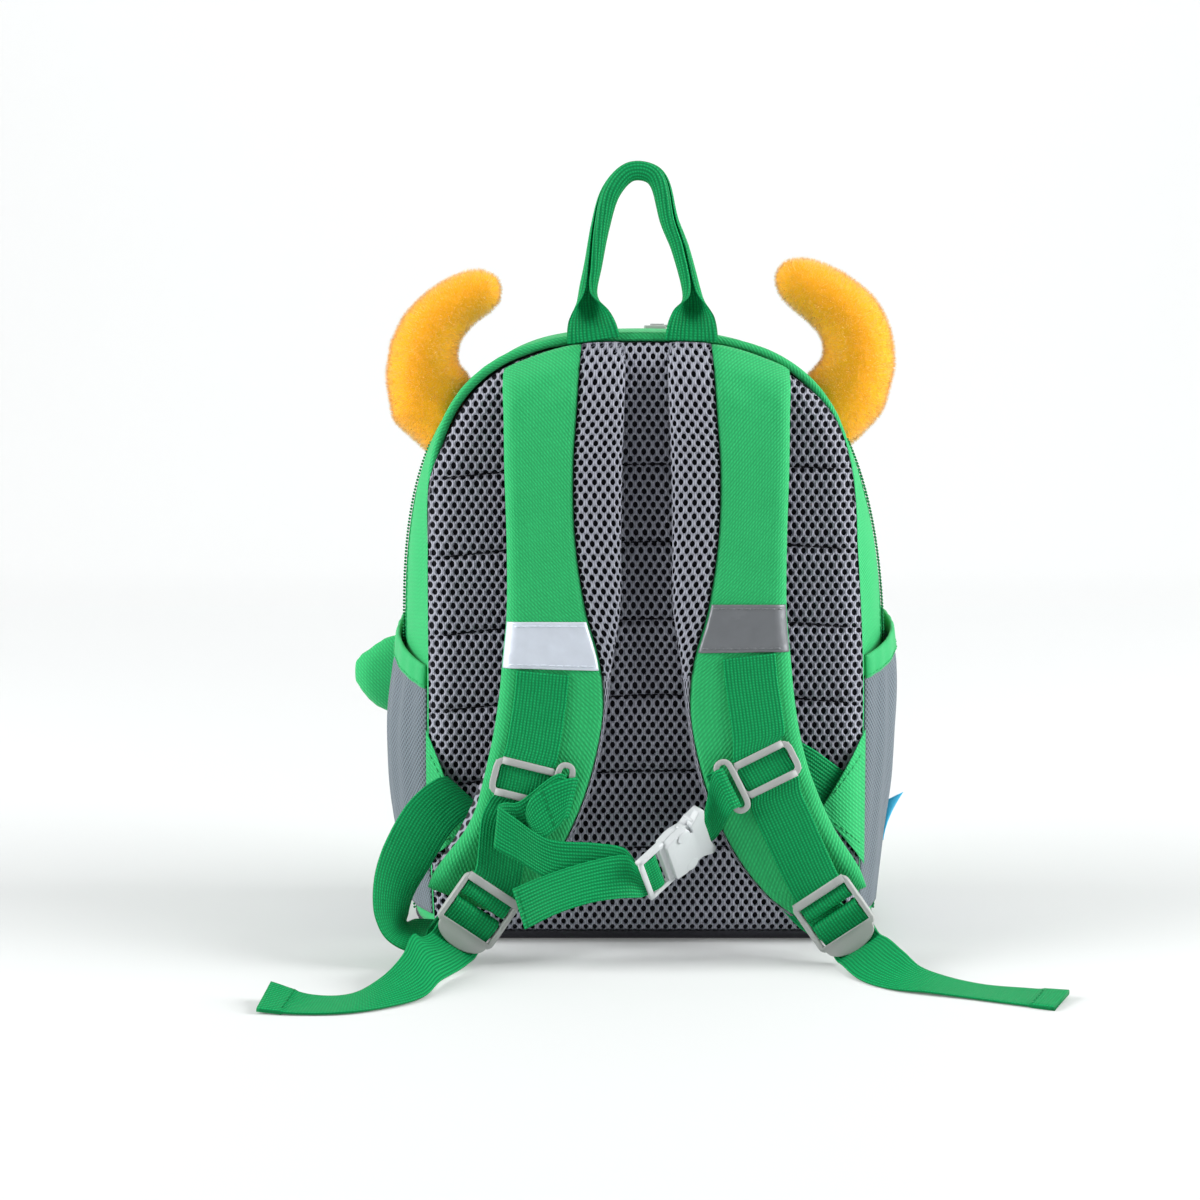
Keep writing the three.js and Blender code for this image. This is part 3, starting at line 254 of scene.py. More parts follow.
LEFT_LOOP = [
    (6.6, 2.6), (3.4, 1.9), (2.9, 0), (2.7, -1.4), (1.2, -2.1),
    (-1.2, -2.1), (-2.4, -0.8), (-2.4, 1.4), (-1, 3),
]

# Grab handle: its middle line, how far it is turned about that line, and how far its two edges curl forward.
HANDLE = {
    "step": [0, 1, 2, 3, 4, 5, 6, 7, 8, 9, 10, 11, 12, 13],
    "x": [-25, -26.4, -27.7, -25.2, -21.8, -17.2, -9, 0.4, 6.4, 10.6, 16.1, 21.4, 21.6, 21.3],
    "z": [290.2, 300, 312.5, 326, 344, 359.5, 369, 369.4, 363.5, 347, 333, 313, 301, 290.2],
    "turn": [0, 0, -4, -22, -50, -75, -88, -85, -60, -40, -25, -8, 0, 0],
    "curl": [0, 48, 158, 172, 174, 174, 174, 174, 174, 174, 174, 160, 50, 0],
}
HANDLE_DEPTH, HANDLE_FLAT = -61.6, 0.86

# Wings at the lower corners.
WING = {
    "left": {
        "x": [105.8, 97.5, 92.6, 88],
        "y": [-59.4, -68.8, -70.4, -71],
        "low": [40, 47, 51, 54.5],
        "high": [104, 85.5, 71.5, 58.5],
    },
    "right": {
        "x": [105.8, 99, 91.5, 84],
        "y": [-59.4, -69, -73.9, -75.6],
        "low": [38, 48, 57, 65],
        "high": [104, 93, 81, 69],
    },
}

# Plush horns: how far the skin stands out, where each horn sits and how far its root is drawn in.
HORN_SWELL = 0.4
HORN_MOVE = {"left": (-1, 0, -1), "right": (-0.5, 0, 0.8)}
HORN_ROOT = {"left": (5.4, 0, 1), "right": (-6.5, 0, -4)}

# Stage, in metres: the backdrop's sweep, the soft boxes by place, aim, size and watts, and the camera.
PAPER_HALF, PAPER_FRONT, PAPER_BACK, PAPER_ROUND, PAPER_TOP = 5.0, -4.0, 1.6, 0.9, 4.0
LAMPS = {
    "left_softbox": ((-1.75, -0.42, 0.95), (0, 0, 0.16), 1.2, 49),
    "right_softbox": ((1.75, -0.34, 0.95), (0, 0, 0.16), 1.2, 55),
    "front_fill": ((-0.3, -2.4, 1.5), (0, 0, 0.16), 1.4, 1.4),
    "top": ((0.1, 0.1, 1.7), (0, 0, 0.1), 1.6, 7),
}
ROOM_LIGHT = 0.13
CAMERA_AT, CAMERA_TILT, CAMERA_LENS, CAMERA_SENSOR = (-0.022, -1.36, 0.310), 83.7, 81.9, 36.0


def linear(code):
    """Turns an sRGB hex colour into the linear values that shaders use."""
    parts = [int(code[i:i + 2], 16) / 255 for i in (1, 3, 5)]
    return [c / 12.92 if c <= 0.04045 else ((c + 0.055) / 1.055) ** 2.4 for c in parts]


def tint(label, code):
    """A colour that a user may change, from its sRGB hex value."""
    return bpy.props.FloatVectorProperty(
        name=label, description=f"Colour of the {label.lower()}", subtype="COLOR", size=3,
        min=0, max=1, default=linear(code))


def length(label, description, default, low, high):
    """A length that a user may change, given in mm and kept in metres."""
    return bpy.props.FloatProperty(
        name=label, description=description, default=default * MM, min=low * MM, max=high * MM,
        precision=4, subtype="DISTANCE", unit="LENGTH")


class BackpackColours(bpy.types.PropertyGroup):
    """Colours of the cloth and fittings."""
    twill: tint("Twill", "#24AC63")
    webbing: tint("Webbing", "#088F50")
    yarn: tint("Mesh yarn", "#9A9CA8")
    # Painted shade: near-black so that the depth behind the mesh holes reads as shadow.
    pile: tint("Mesh pile, painted shade", "#131318")
    pocket: tint("Pocket mesh", "#6B7780")
    base: tint("Base cloth", "#2A2A33")
    plush: tint("Plush", "#F8AC22")
    fittings: tint("Grey fittings", "#A5A8A6")
    buckle: tint("Buckle", "#C6CACC")
    # Painted glow: the same reflective tape, coloured near-white as if shining back at a lamp.
    tape: tint("Reflective tape", "#75787C")
    tape_painted_glow: tint("Reflective tape, painted glow", "#D9E0EC")
    label: tint("Side label", "#33B5E0")


class BackpackSizes(bpy.types.PropertyGroup):
    """Sizes of the cloth's own detail."""
    hole_pitch: length("Hole pitch", "Mesh holes from centre to centre across", 4.3, 2.5, 8)
    hole_row: length("Hole row", "Mesh rows from centre to centre", 3.2, 2, 6)
    stitch: length("Stitch", "Length of one stitch", 2.8, 1, 6)
    fibre: length("Plush fibre", "Length of the plush fibres", 2.4, 1, 8)
    fibre_count: bpy.props.IntProperty(
        name="Fibres", description="Plush fibres on each horn", default=36000, min=1000, max=150000)


def in_mm(name):
    """One of the lengths that a user may change, in mm."""
    return round(getattr(bpy.context.scene.backpack_sizes, name) / MM, 4)


def unit(vectors):
    """The vectors, each made 1 long."""
    vectors = np.asarray(vectors, float)
    return vectors / np.maximum(np.linalg.norm(vectors, axis=-1, keepdims=True), 1e-12)


def column(table, name, at):
    """Reads one column of a table at any value of its first column, on a smooth curve through the rows."""
    keys = np.array(next(iter(table.values())), float)
    values = np.array(table[name], float)
    last = len(keys) - 1
    low = np.maximum(np.arange(last + 1) - 1, 0)
    high = np.minimum(np.arange(last + 1) + 1, last)
    slopes = (values[high] - values[low]) / (keys[high] - keys[low])
    at = np.asarray(at, float)
    i = np.clip(np.searchsorted(keys, at, side="right") - 1, 0, last - 1)
    span = keys[i + 1] - keys[i]
    t = np.clip((at - keys[i]) / span, 0, 1)
    start = (2 * t**3 - 3 * t**2 + 1) * values[i] + (t**3 - 2 * t**2 + t) * span * slopes[i]
    return start + (3 * t**2 - 2 * t**3) * values[i + 1] + (t**3 - t**2) * span * slopes[i + 1]


def spline(points, at, power=0.25):
    """A smooth curve through points, read at places counted in points from 0."""
    points = np.asarray(points, float)
    last = len(points) - 1
    full = np.concatenate([[2 * points[0] - points[1]], points, [2 * points[-1] - points[-2]]])
    i = np.clip(np.floor(at).astype(int), 0, last - 1)
    t = (at - i)[:, None]
    p0, p1, p2, p3 = full[i], full[i + 1], full[i + 2], full[i + 3]
    d0, d1, d2 = (np.maximum(((b - a) ** 2).sum(1), 1e-9)[:, None] ** power
                  for a, b in ((p0, p1), (p1, p2), (p2, p3)))
    m1 = ((p1 - p0) / d0 - (p2 - p0) / (d0 + d1) + (p2 - p1) / d1) * d1
    m2 = ((p2 - p1) / d1 - (p3 - p1) / (d1 + d2) + (p3 - p2) / d2) * d1
    return p1 + m1 * t + (3 * p2 - 3 * p1 - 2 * m1 - m2) * t**2 + (2 * p1 - 2 * p2 + m1 + m2) * t**3


def ripple(a, b, seed, wave):
    """Soft uneven waves over two cloth coordinates in mm, from about -1 to 1."""
    dice = np.random.default_rng(seed)
    total = 0.0
    for _ in range(7):
        angle, phase = dice.uniform(0, 2 * np.pi, 2)
        size = wave * dice.uniform(0.6, 1.6)
        total = total + np.sin((a * np.cos(angle) + b * np.sin(angle)) * 2 * np.pi / size + phase)
    return total / 4


def smooth(t):
    """Eases from 0 to 1."""
    t = np.clip(t, 0, 1)
    return t * t * (3 - 2 * t)


def run_along(line):
    """Length along a line of points, from 0 at its start."""
    return np.append(0, np.cumsum(np.linalg.norm(np.diff(line, axis=0), axis=1)))


def circle(count):
    """Even angles once round."""
    return np.linspace(0, 2 * np.pi, count, endpoint=False)


def square_off(wave, power):
    """Draws a wave out towards -1 and 1, which squares a round section."""
    return np.sign(wave) * np.abs(wave) ** power


def measured(points, wrap):
    """Cloth coordinates of a grid: mm across and mm along, on average."""
    ring = np.concatenate([points, points[:, :1]], 1) if wrap else points
    across = np.cumsum(np.linalg.norm(np.diff(ring, axis=1), axis=2).mean(0))
    along = np.cumsum(np.linalg.norm(np.diff(points, axis=0), axis=2).mean(1))
    return np.stack(np.meshgrid(np.append(0, across), np.append(0, along)), -1)


def grid_faces(rows, columns, wrap):
    """Faces of a grid of points, with the row and column that each one starts from."""
    i, j = np.meshgrid(np.arange(rows - 1), np.arange(columns if wrap else columns - 1), indexing="ij")
    k = (j + 1) % columns
    corners = [i * columns + j, i * columns + k, (i + 1) * columns + k, (i + 1) * columns + j]
    return np.stack(corners, -1).reshape(-1, 4), i, j


def end_caps(rows, columns):
    """The flat faces at the two ends of a tube."""
    return np.stack([np.arange(columns)[::-1], np.arange(columns) + (rows - 1) * columns])


class Weft:
    """Gathers grids of points into one mesh whose cloth coordinates are in mm."""

    def __init__(self):
        self.points, self.corners, self.counts, self.cloth, self.finishes = [], [], [], [], []
        self.size = 0

    def add(self, points, faces, cloth, finish=0):
        """Adds faces with the cloth coordinates of their corners, and their points where those are new."""
        faces = np.asarray(faces)
        self.corners.append(faces.ravel() + self.size)
        self.counts.append(np.full(len(faces), faces.shape[1]))
        self.cloth.append(np.asarray(cloth, float).reshape(-1, 2))
        self.finishes.append(np.full(len(faces), finish))
        if points is not None:
            self.points.append(points.reshape(-1, 3))

    def grid(self, points, wrap=False, finish=0, cloth=None):
        """A sheet through rows of points, or a tube where each row wraps."""
        rows, columns = points.shape[:2]
        cloth = measured(points, wrap) if cloth is None else cloth
        faces, i, j = grid_faces(rows, columns, wrap)
        corners = np.stack([cloth[i, j], cloth[i, j + 1], cloth[i + 1, j + 1], cloth[i + 1, j]], 2)
        self.add(points, faces, corners, finish)
        self.size += rows * columns

    def loft(self, rings, finish=0, cloth=None):
        """A closed form through rings, with a flat cap at each end."""
        rows, columns = rings.shape[:2]
        base = self.size
        self.grid(rings, True, finish, cloth)
        self.add(None, end_caps(rows, columns) + base - self.size, np.zeros((2, columns, 2)), finish)

    def many(self, forms, finish=0):
        """Many like closed forms at once: (forms, rings, points round a ring, 3)."""
        count, rows, columns = forms.shape[:3]
        shift = np.arange(count)[:, None, None] * rows * columns
        sides = grid_faces(rows, columns, True)[0][None] + shift
        caps = end_caps(rows, columns)[None] + shift
        self.add(forms, sides.reshape(-1, 4), np.zeros((sides.size, 2)), finish)
        self.add(None, caps.reshape(-1, columns), np.zeros((caps.size, 2)), finish)
        self.size += count * rows * columns

    def piece(self, name, slot, finishes, nodes=(), tidy=True):
        """Makes the object, rides it on the bag and lets it stand for its CAD nodes."""
        mesh = bpy.data.meshes.new(name)
        points = np.concatenate(self.points) * MM
        corners, counts = np.concatenate(self.corners), np.concatenate(self.counts)
        mesh.vertices.add(len(points))
        mesh.vertices.foreach_set("co", points.astype(np.float32).ravel())
        mesh.loops.add(len(corners))
        mesh.loops.foreach_set("vertex_index", corners.astype(np.int32))
        mesh.polygons.add(len(counts))
        starts = np.append(0, np.cumsum(counts)[:-1])
        mesh.polygons.foreach_set("loop_start", starts.astype(np.int32))
        mesh.polygons.foreach_set("material_index", np.concatenate(self.finishes).astype(np.int32))
        mesh.polygons.foreach_set("use_smooth", np.ones(len(counts), bool))
        mesh.update(calc_edges=True)
        mesh.uv_layers.new(name="Cloth").data.foreach_set(
            "uv", np.concatenate(self.cloth).astype(np.float32).ravel())
        if tidy:
            form = bmesh.new()
            form.from_mesh(mesh)
            bmesh.ops.remove_doubles(form, verts=form.verts, dist=1e-6)
            bmesh.ops.recalc_face_normals(form, faces=form.faces)
            form.to_mesh(mesh)
            form.free()
        made = bpy.data.objects.new(name, mesh)
        bpy.context.scene.collection.objects.link(made)
        return dress(made, finishes, nodes)


def dress(made, finishes, nodes):
    """Gives a piece its materials and body, and hides the CAD nodes that it stands for."""
    made.data.materials.clear()
    for finish in finishes:
        made.data.materials.append(finish)
    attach(made, "root")
    if nodes:
        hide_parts(*nodes)
    return made


def vectors_of(items, name):
    """One vector of each vertex or face of a mesh."""
    values = np.zeros(len(items) * 3, np.float32)
    items.foreach_get(name, values)
    return values.reshape(-1, 3).astype(float)


def vertex_array(made):
    """A piece's points, in metres."""
    return vectors_of(made.data.vertices, "co")


# Place of the thread among a sewn piece's finishes.
THREAD = 1


def stitches(weft, line, lift, pitch=1.35, radius=0.3):
    """A row of stitches along a line of points on the cloth, raised in the lift directions."""
    size = in_mm("stitch")
    line = np.asarray(line, float)
    lift = np.broadcast_to(unit(lift), line.shape)
    run = run_along(line)
    starts = np.arange(0.3, run[-1] - size, size * pitch)
    if not len(starts):
        return
    share = np.array([0, 0.14, 0.5, 0.86, 1])
    thick = np.array([0.4, 0.95, 1.1, 0.95, 0.4]) * radius
    rise = np.array([-0.25, 0.1, 0.3, 0.1, -0.25]) * radius * 1.6
    places = starts[:, None] + share * size
    at = np.stack([np.interp(places, run, line[:, k]) for k in range(3)], -1)
    up = unit(np.stack([np.interp(places, run, lift[:, k]) for k in range(3)], -1))
    along = unit(at[:, -1:] - at[:, :1])
    side = unit(np.cross(np.broadcast_to(along, up.shape), up))
    angle = circle(6)
    spokes = side[:, :, None] * np.cos(angle)[:, None] + up[:, :, None] * np.sin(angle)[:, None]
    weft.many((at + up * rise[:, None])[:, :, None] + spokes * thick[:, None, None], THREAD)


# Materials. Cloth coordinates are mm, and object coordinates are metres. A wave's scale is worked out
# from its pitch in mm, and a grain's from its size in mm.
STRAIGHT_WAVE, SLANTED_WAVE = math.pi / 10, math.pi / 5 / math.sqrt(2)


def node(tree, kind, sockets=None, **settings):
    """Adds one node. Sockets are values, or nodes whose output is linked in."""
    made = tree.nodes.new("ShaderNode" + kind)
    for name, value in settings.items():
        setattr(made, name, value)
    for key, value in (sockets or {}).items():
        socket = made.inputs[key] if isinstance(key, int) else next(
            s for s in made.inputs if s.name == key and s.enabled)
        if isinstance(value, bpy.types.Node):
            value = next(o for o in value.outputs if o.enabled)
        if isinstance(value, bpy.types.NodeSocket):
            tree.links.new(value, socket)
        else:
            socket.default_value = value
    return made


def surface(name, colour, roughness, **sockets):
    """A material with one shader whose plain values are set on its sockets."""
    made = bpy.data.materials.new(name)
    made.use_nodes = True
    shader = made.node_tree.nodes["Principled BSDF"]
    shader.inputs["Base Color"].default_value = (*colour, 1)
    shader.inputs["Roughness"].default_value = roughness
    for key, value in sockets.items():
        shader.inputs[key.replace("_", " ")].default_value = value
    return made, made.node_tree, shader


def shade(colour, amount):
    """A colour made darker or lighter."""
    return (*[min(c * amount, 1) for c in colour], 1)


def two_tone(tree, shader, colour, dark, light, pattern, depth):
    """Colours the shader between two shades by a pattern, and raises the light one by a depth in mm."""
    blend = node(tree, "Mix", {"Factor": pattern, "A": shade(colour, dark), "B": shade(colour, light)},
                 data_type="RGBA")
    bump = node(tree, "Bump", {"Height": pattern, "Strength": 1.0, "Distance": depth * MM})
    tree.links.new(next(o for o in blend.outputs if o.enabled), shader.inputs["Base Color"])
    tree.links.new(bump.outputs[0], shader.inputs["Normal"])


def twill_cloth(colours):
    # Polyester twill, woven: slanted ribs that break into specks. Its 0.5 mm ribs are finer than a
    # pixel, so they are drawn at 1.4 mm.
    made, tree, shader = surface("Polyester twill, woven", colours.twill, 0.72, Sheen_Weight=0.1,
                                 Sheen_Roughness=0.5, Specular_IOR_Level=0.25)
    at = node(tree, "UVMap", uv_map="Cloth")
    ribs = node(tree, "TexWave", {"Vector": at, "Scale": SLANTED_WAVE / 1.4, "Distortion": 1.0,
                                  "Detail": 1.0, "Detail Scale": 2.0}, bands_direction="DIAGONAL")
    picks = node(tree, "TexWave", {"Vector": at, "Scale": STRAIGHT_WAVE / 1.7}, bands_direction="X")
    specks = node(tree, "Math", {0: picks, 1: 0.55, 2: 0.45}, operation="MULTIPLY_ADD")
    weave = node(tree, "Math", {0: ribs, 1: specks}, operation="MULTIPLY")
    two_tone(tree, shader, colours.twill, 0.83, 1.32, weave, 0.22)
    return made


def webbing_tape(colours):
    # Polypropylene webbing, ribbed weave: ribs along the tape that break into lighter specks, a painted
    # highlight where the weave's gloss catches the light.
    # Its 0.9 mm ribs are finer than a pixel, so they are drawn at 1.6 mm.
    made, tree, shader = surface("Polypropylene webbing, ribbed weave", colours.webbing, 0.55,
                                 Specular_IOR_Level=0.12)
    at = node(tree, "UVMap", uv_map="Cloth")
    ends = node(tree, "TexWave", {"Vector": at, "Scale": STRAIGHT_WAVE / 1.6, "Distortion": 0.8},
                bands_direction="X")
    picks = node(tree, "TexWave", {"Vector": at, "Scale": STRAIGHT_WAVE / 1.3, "Distortion": 1.5},
                 bands_direction="Y")
    specks = node(tree, "Math", {0: picks, 1: 0.6, 2: 0.4}, operation="MULTIPLY_ADD")
    weave = node(tree, "Math", {0: ends, 1: specks}, operation="MULTIPLY")
    two_tone(tree, shader, colours.webbing, 0.68, 1.55, weave, 0.3)
    return made


def elastic_binding(colours):
    # Elastic binding, plain woven: smooth and a little glossy, with a grain of 1.25 mm in place of
    # threads too fine to draw.
    made, tree, shader = surface("Elastic binding, plain woven", colours.twill, 0.6,
                                 Specular_IOR_Level=0.25, Sheen_Weight=0.1)
    at = node(tree, "UVMap", uv_map="Cloth")
    grain = node(tree, "TexNoise", {"Vector": at, "Scale": 1 / 1.25, "Detail": 2.0})
    two_tone(tree, shader, colours.twill, 0.82, 1.05, grain, 0.12)
    return made


def knitted_yarn(colours):
    # Polyester spacer mesh, warp knitted: matt grey strands with fine filaments along them.
    made, tree, shader = surface("Polyester spacer mesh, warp knitted", colours.yarn, 0.75,
                                 Sheen_Weight=0.2, Specular_IOR_Level=0.3)
    at = node(tree, "UVMap", uv_map="Cloth")
    strands = node(tree, "TexWave", {"Vector": at, "Scale": STRAIGHT_WAVE / 1.1, "Distortion": 2.5,
                                     "Detail": 2.0}, bands_direction="X")
    two_tone(tree, shader, colours.yarn, 0.72, 1.2, strands, 0.12)
    return made


def mesh_pile_painted_shade(colours):
    # Spacer mesh pile, monofilament: painted near-black, a painted shade for the shadowed depth behind the
    # holes.
    return surface("Spacer mesh pile, painted shade", colours.pile, 0.9, Specular_IOR_Level=0.15)[0]


def holed(tree, at, pitch, row):
    """Distance from the nearest hole of a staggered lattice, from 0 at its middle to about 0.7."""
    one = node(tree, "VectorMath", {0: at, 1: (1 / pitch, 0.5 / row, 0)}, operation="DOT_PRODUCT")
    two = node(tree, "VectorMath", {0: at, 1: (-1 / pitch, 0.5 / row, 0)}, operation="DOT_PRODUCT")
    lattice = node(tree, "CombineXYZ", {"X": one.outputs["Value"], "Y": two.outputs["Value"]})
    return node(tree, "TexVoronoi", {"Vector": lattice, "Scale": 1.0, "Randomness": 0.0},
                voronoi_dimensions="2D")


def lining_mesh(colours):
    # Spacer mesh, underside: the same knit where it is out of sight, with its holes drawn and not cut, each
    # hole painted near-black as the shade in its depth.
    made, tree, shader = surface("Spacer mesh lining, warp knitted", colours.yarn, 0.8,
                                 Specular_IOR_Level=0.25)
    at = node(tree, "UVMap", uv_map="Cloth")
    hole = holed(tree, at, in_mm("hole_pitch"), in_mm("hole_row"))
    open_share = node(tree, "MapRange", {"Value": hole, "From Min": 0.3, "From Max": 0.42})
    # Painted shade: the drawn holes are 6 % as bright as the yarn.
    two_tone(tree, shader, colours.yarn, 0.06, 1.0, open_share, 0.6)
    return made


def pocket_mesh(colours):
    # Fine tricot mesh, warp knitted. Its 1 mm holes are drawn at 2.2 mm so that the grain shows.
    made, tree, shader = surface("Tricot pocket mesh, warp knitted", colours.pocket, 0.7,
                                 Specular_IOR_Level=0.35, Sheen_Weight=0.15)
    at = node(tree, "UVMap", uv_map="Cloth")
    hole = holed(tree, at, 2.2, 1.5)
    open_share = node(tree, "MapRange", {"Value": hole, "From Min": 0.2, "From Max": 0.5})
    two_tone(tree, shader, colours.pocket, 0.42, 1.12, open_share, 0.25)
    return made


def base_cloth(colours):
    # Polyester oxford cloth, coated: dark, with a dull plain weave that shows as a grain of 1.1 mm.
    made, tree, shader = surface("Polyester oxford cloth, coated", colours.base, 0.62)
    at = node(tree, "UVMap", uv_map="Cloth")
    grain = node(tree, "TexNoise", {"Vector": at, "Scale": 1 / 1.1111, "Detail": 3.0})
    two_tone(tree, shader, colours.base, 0.75, 1.3, grain, 0.2)
    return made


def plush_backing(colours):
    # Plush ground, knitted: deep where it faces the eye, pale and soft where it turns away, and
    # mottled in tufts of 2.4 mm.
    made, tree, shader = surface("Plush ground, knitted", colours.plush, 0.9, Specular_IOR_Level=0.1,
                                 Sheen_Weight=1.0, Sheen_Roughness=0.35,
                                 Sheen_Tint=(*linear("#FFE9A8"), 1))
    at = node(tree, "TexCoord").outputs["Object"]
    mottle = node(tree, "TexNoise", {"Vector": at, "Scale": 1 / (2.381 * MM), "Detail": 3.0,
                                     "Roughness": 0.7})
    two_tone(tree, shader, colours.plush, 0.82, 1.15, mottle, 0.25)
    return made


def plush_pile(colours):
    # Polyester plush, short cut pile: soft fibres, deeper at the root and pale at the tip, that let light
    # through and so glow where the horn turns away. The pale tips are a painted highlight for the horn's
    # bright rim.
    made, tree, shader = surface("Polyester plush, short cut pile", colours.plush, 0.85,
                                 Specular_IOR_Level=0.15, Sheen_Weight=1.0, Sheen_Roughness=0.4,
                                 Sheen_Tint=(*linear("#FFE9A8"), 1))
    at = node(tree, "UVMap", uv_map="Cloth")
    parts = node(tree, "SeparateXYZ", {"Vector": at})
    # Painted highlight: the fibres blend towards pale yellow at the tip for the horn's bright rim.
    blend = node(tree, "Mix", {"Factor": parts.outputs["Y"], "A": shade(colours.plush, 1.12),
                               "B": (*linear("#FFEBAA"), 1)}, data_type="RGBA")
    tree.links.new(next(o for o in blend.outputs if o.enabled), shader.inputs["Base Color"])
    through = node(tree, "BsdfTranslucent", {"Color": blend})
    both = node(tree, "MixShader", {0: 0.5, 1: shader, 2: through})
    tree.links.new(both.outputs[0], tree.nodes["Material Output"].inputs["Surface"])
    return made


def reflective(colours, lit):
    # Reflective tape, glass-beaded: a satin grey, uneven in patches of 8 mm because its beads are too fine to
    # draw. The lit copy is the same tape with a painted glow: coloured near-white, it stands in for the tape
    # shining back at a lamp.
    # The lit copy paints the tape's glow into its colour.
    colour = colours.tape_painted_glow if lit else colours.tape
    made, tree, shader = surface("Reflective tape, glass-beaded" + (", lit" if lit else ""), colour, 0.38,
                                 Metallic=0.25)
    at = node(tree, "UVMap", uv_map="Cloth")
    beads = node(tree, "TexNoise", {"Vector": at, "Scale": 1 / 8.333, "Detail": 4.0})
    two_tone(tree, shader, colour, 0.88, 1.1, beads, 0.5)
    return made


def moulded(name, colour):
    # Acetal, injection moulded: satin with a faint uneven skin, in a grain of 1.1 mm.
    made, tree, shader = surface(name, colour, 0.42, Specular_IOR_Level=0.45)
    grain = node(tree, "TexNoise", {"Scale": 1 / (1.1111 * MM), "Detail": 2.0})
    bump = node(tree, "Bump", {"Height": grain, "Strength": 0.15, "Distance": 0.1 * MM})
    tree.links.new(bump.outputs[0], shader.inputs["Normal"])
    return made


def satin_label(colours):
    # Satin ribbon, woven: a small glossy tab.
    return surface("Satin ribbon, woven", colours.label, 0.4, Sheen_Weight=0.2)[0]


def sewing_thread(name, colour):
    # Polyester thread, twisted: small bright beads along a seam.
    return surface(name, colour, 0.55, Specular_IOR_Level=0.4)[0]


FINISHES = {
    "twill": twill_cloth,
    "webbing": webbing_tape,
    "binding": elastic_binding,
    "yarn": knitted_yarn,
    "pile": mesh_pile_painted_shade,
    "lining": lining_mesh,
    "pocket": pocket_mesh,
    "base": base_cloth,
    "plush_ground": plush_backing,
    "plush": plush_pile,
    "tape": lambda c: reflective(c, False),
    "tape_painted_glow": lambda c: reflective(c, True),
    "grey": lambda c: moulded("Acetal, moulded grey", c.fittings),
    "pale": lambda c: moulded("Acetal, moulded pale", c.buckle),
    "label": satin_label,
    "green_thread": lambda c: sewing_thread("Green thread, twisted", [v * 1.5 for v in c.twill]),
    # The thread takes the near-black pile colour; on the quilted back it is also the painted shade of the
    # seam creases.
    "dark_thread_and_seam_shade": lambda c: sewing_thread("Dark thread, twisted, with painted seam shade", c.pile),
    "grey_thread": lambda c: sewing_thread("Grey thread, twisted", [v * 0.3 for v in c.pocket]),
}
MADE = {}


def finishes(*names):
    """The named materials, each made the first time it is asked for."""
    for name in names:
        if name not in MADE:
            MADE[name] = FINISHES[name](bpy.context.scene.backpack_colours)
    return [MADE[name] for name in names]


# Body forms.
def half_width(depth, z):
    """Half the bag's width at a depth and a height."""
    wide, high, spring, flare, taper = (
        column(BODY, name, depth) for name in ("half_width", "height", "spring", "flare", "taper"))
    below = np.maximum(spring - z, 0) / spring
    low = wide + flare * below - taper * below**2
    share = np.clip((z - spring) / (high - spring), 0, 1)
    return np.where(z < spring, low, wide * (1 - share**ARCH_POWER) ** (1 / ARCH_POWER))


def lean(z):
    """How far the soft bag leans to the left at each height."""
    return LEAN * smooth((z - LEAN_FROM) / (LEAN_TO - LEAN_FROM))


def outline(depth):
    """The bag's outline at one depth as fine points, right foot to left foot."""
    wide, high, spring = (column(BODY, name, depth) for name in ("half_width", "height", "spring"))
    z = np.linspace(FOOT, spring, 120)
    turn = np.linspace(0, np.pi / 2, 240)[1:]
    crown_x = wide * np.maximum(np.cos(turn), 0) ** (2 / ARCH_POWER)
    crown_z = spring + (high - spring) * np.sin(turn) ** (2 / ARCH_POWER)
    half = np.stack([np.append(half_width(depth, z), crown_x), np.append(z, crown_z)], 1)
    return np.concatenate([half, half[-2::-1] * [-1, 1]])


def arch(depth, out, count):
    """Even points over the arch at one depth, moved outward by out."""
    line = outline(depth)
    run = run_along(line)
    at = np.linspace(0, run[-1], count + 1)
    x, z = np.interp(at, run, line[:, 0]), np.interp(at, run, line[:, 1])
    along = unit(np.gradient(np.stack([x, z], 1), axis=0))
    return np.stack([x + along[:, 1] * out + lean(z), np.full(count + 1, depth), z - along[:, 0] * out], 1)


def arch_band(depths, outs, count):
    """A strip over the arch, with one line of points at each depth."""
    return np.stack([arch(d, o, count) for d, o in zip(depths, outs)], 1)


def gusset(name, start, end, seed):
    """A cloth strip over the arch, with the soft waves of a half-filled bag."""
    depths = np.linspace(start, end, 22)
    place = np.linspace(0, ARCH_RUN, ARCH_COUNT + 1)
    edge = np.maximum(np.sin(np.pi * (depths - start) / (end - start)), 0) ** 0.5
    outs = [0.7 * ripple(place, d, seed, 55) * e for d, e in zip(depths, edge)]
    outer = arch_band(depths, outs, ARCH_COUNT)
    inner = arch_band(depths[::-1], [o - CLOTH for o in outs[::-1]], ARCH_COUNT)
    weft = Weft()
    weft.loft(np.concatenate([outer, inner], 1))
    for depth in (start + 2.2, end - 2.2):
        outward = arch(depth, 1.0, STITCH_COUNT) - arch(depth, 0, STITCH_COUNT)
        stitches(weft, arch(depth, 0.15, STITCH_COUNT), outward)
    made = weft.piece(name + "_cloth", "twill", finishes("twill", "green_thread"), [name])


def piping(name, depth):
    """A bound seam over the arch."""
    turn = circle(14)
    place = np.linspace(0, ARCH_RUN, PIPING_COUNT + 1)
    radius = PIPING_RADIUS + 0.1
    outs = [radius * np.sin(a) + 0.1 * ripple(place, a * 2, 5, 9) for a in turn]
    weft = Weft()
    weft.loft(arch_band(depth + radius * np.cos(turn), outs, PIPING_COUNT))
    weft.piece(name + "_cord", "twill", finishes("twill"), [name])


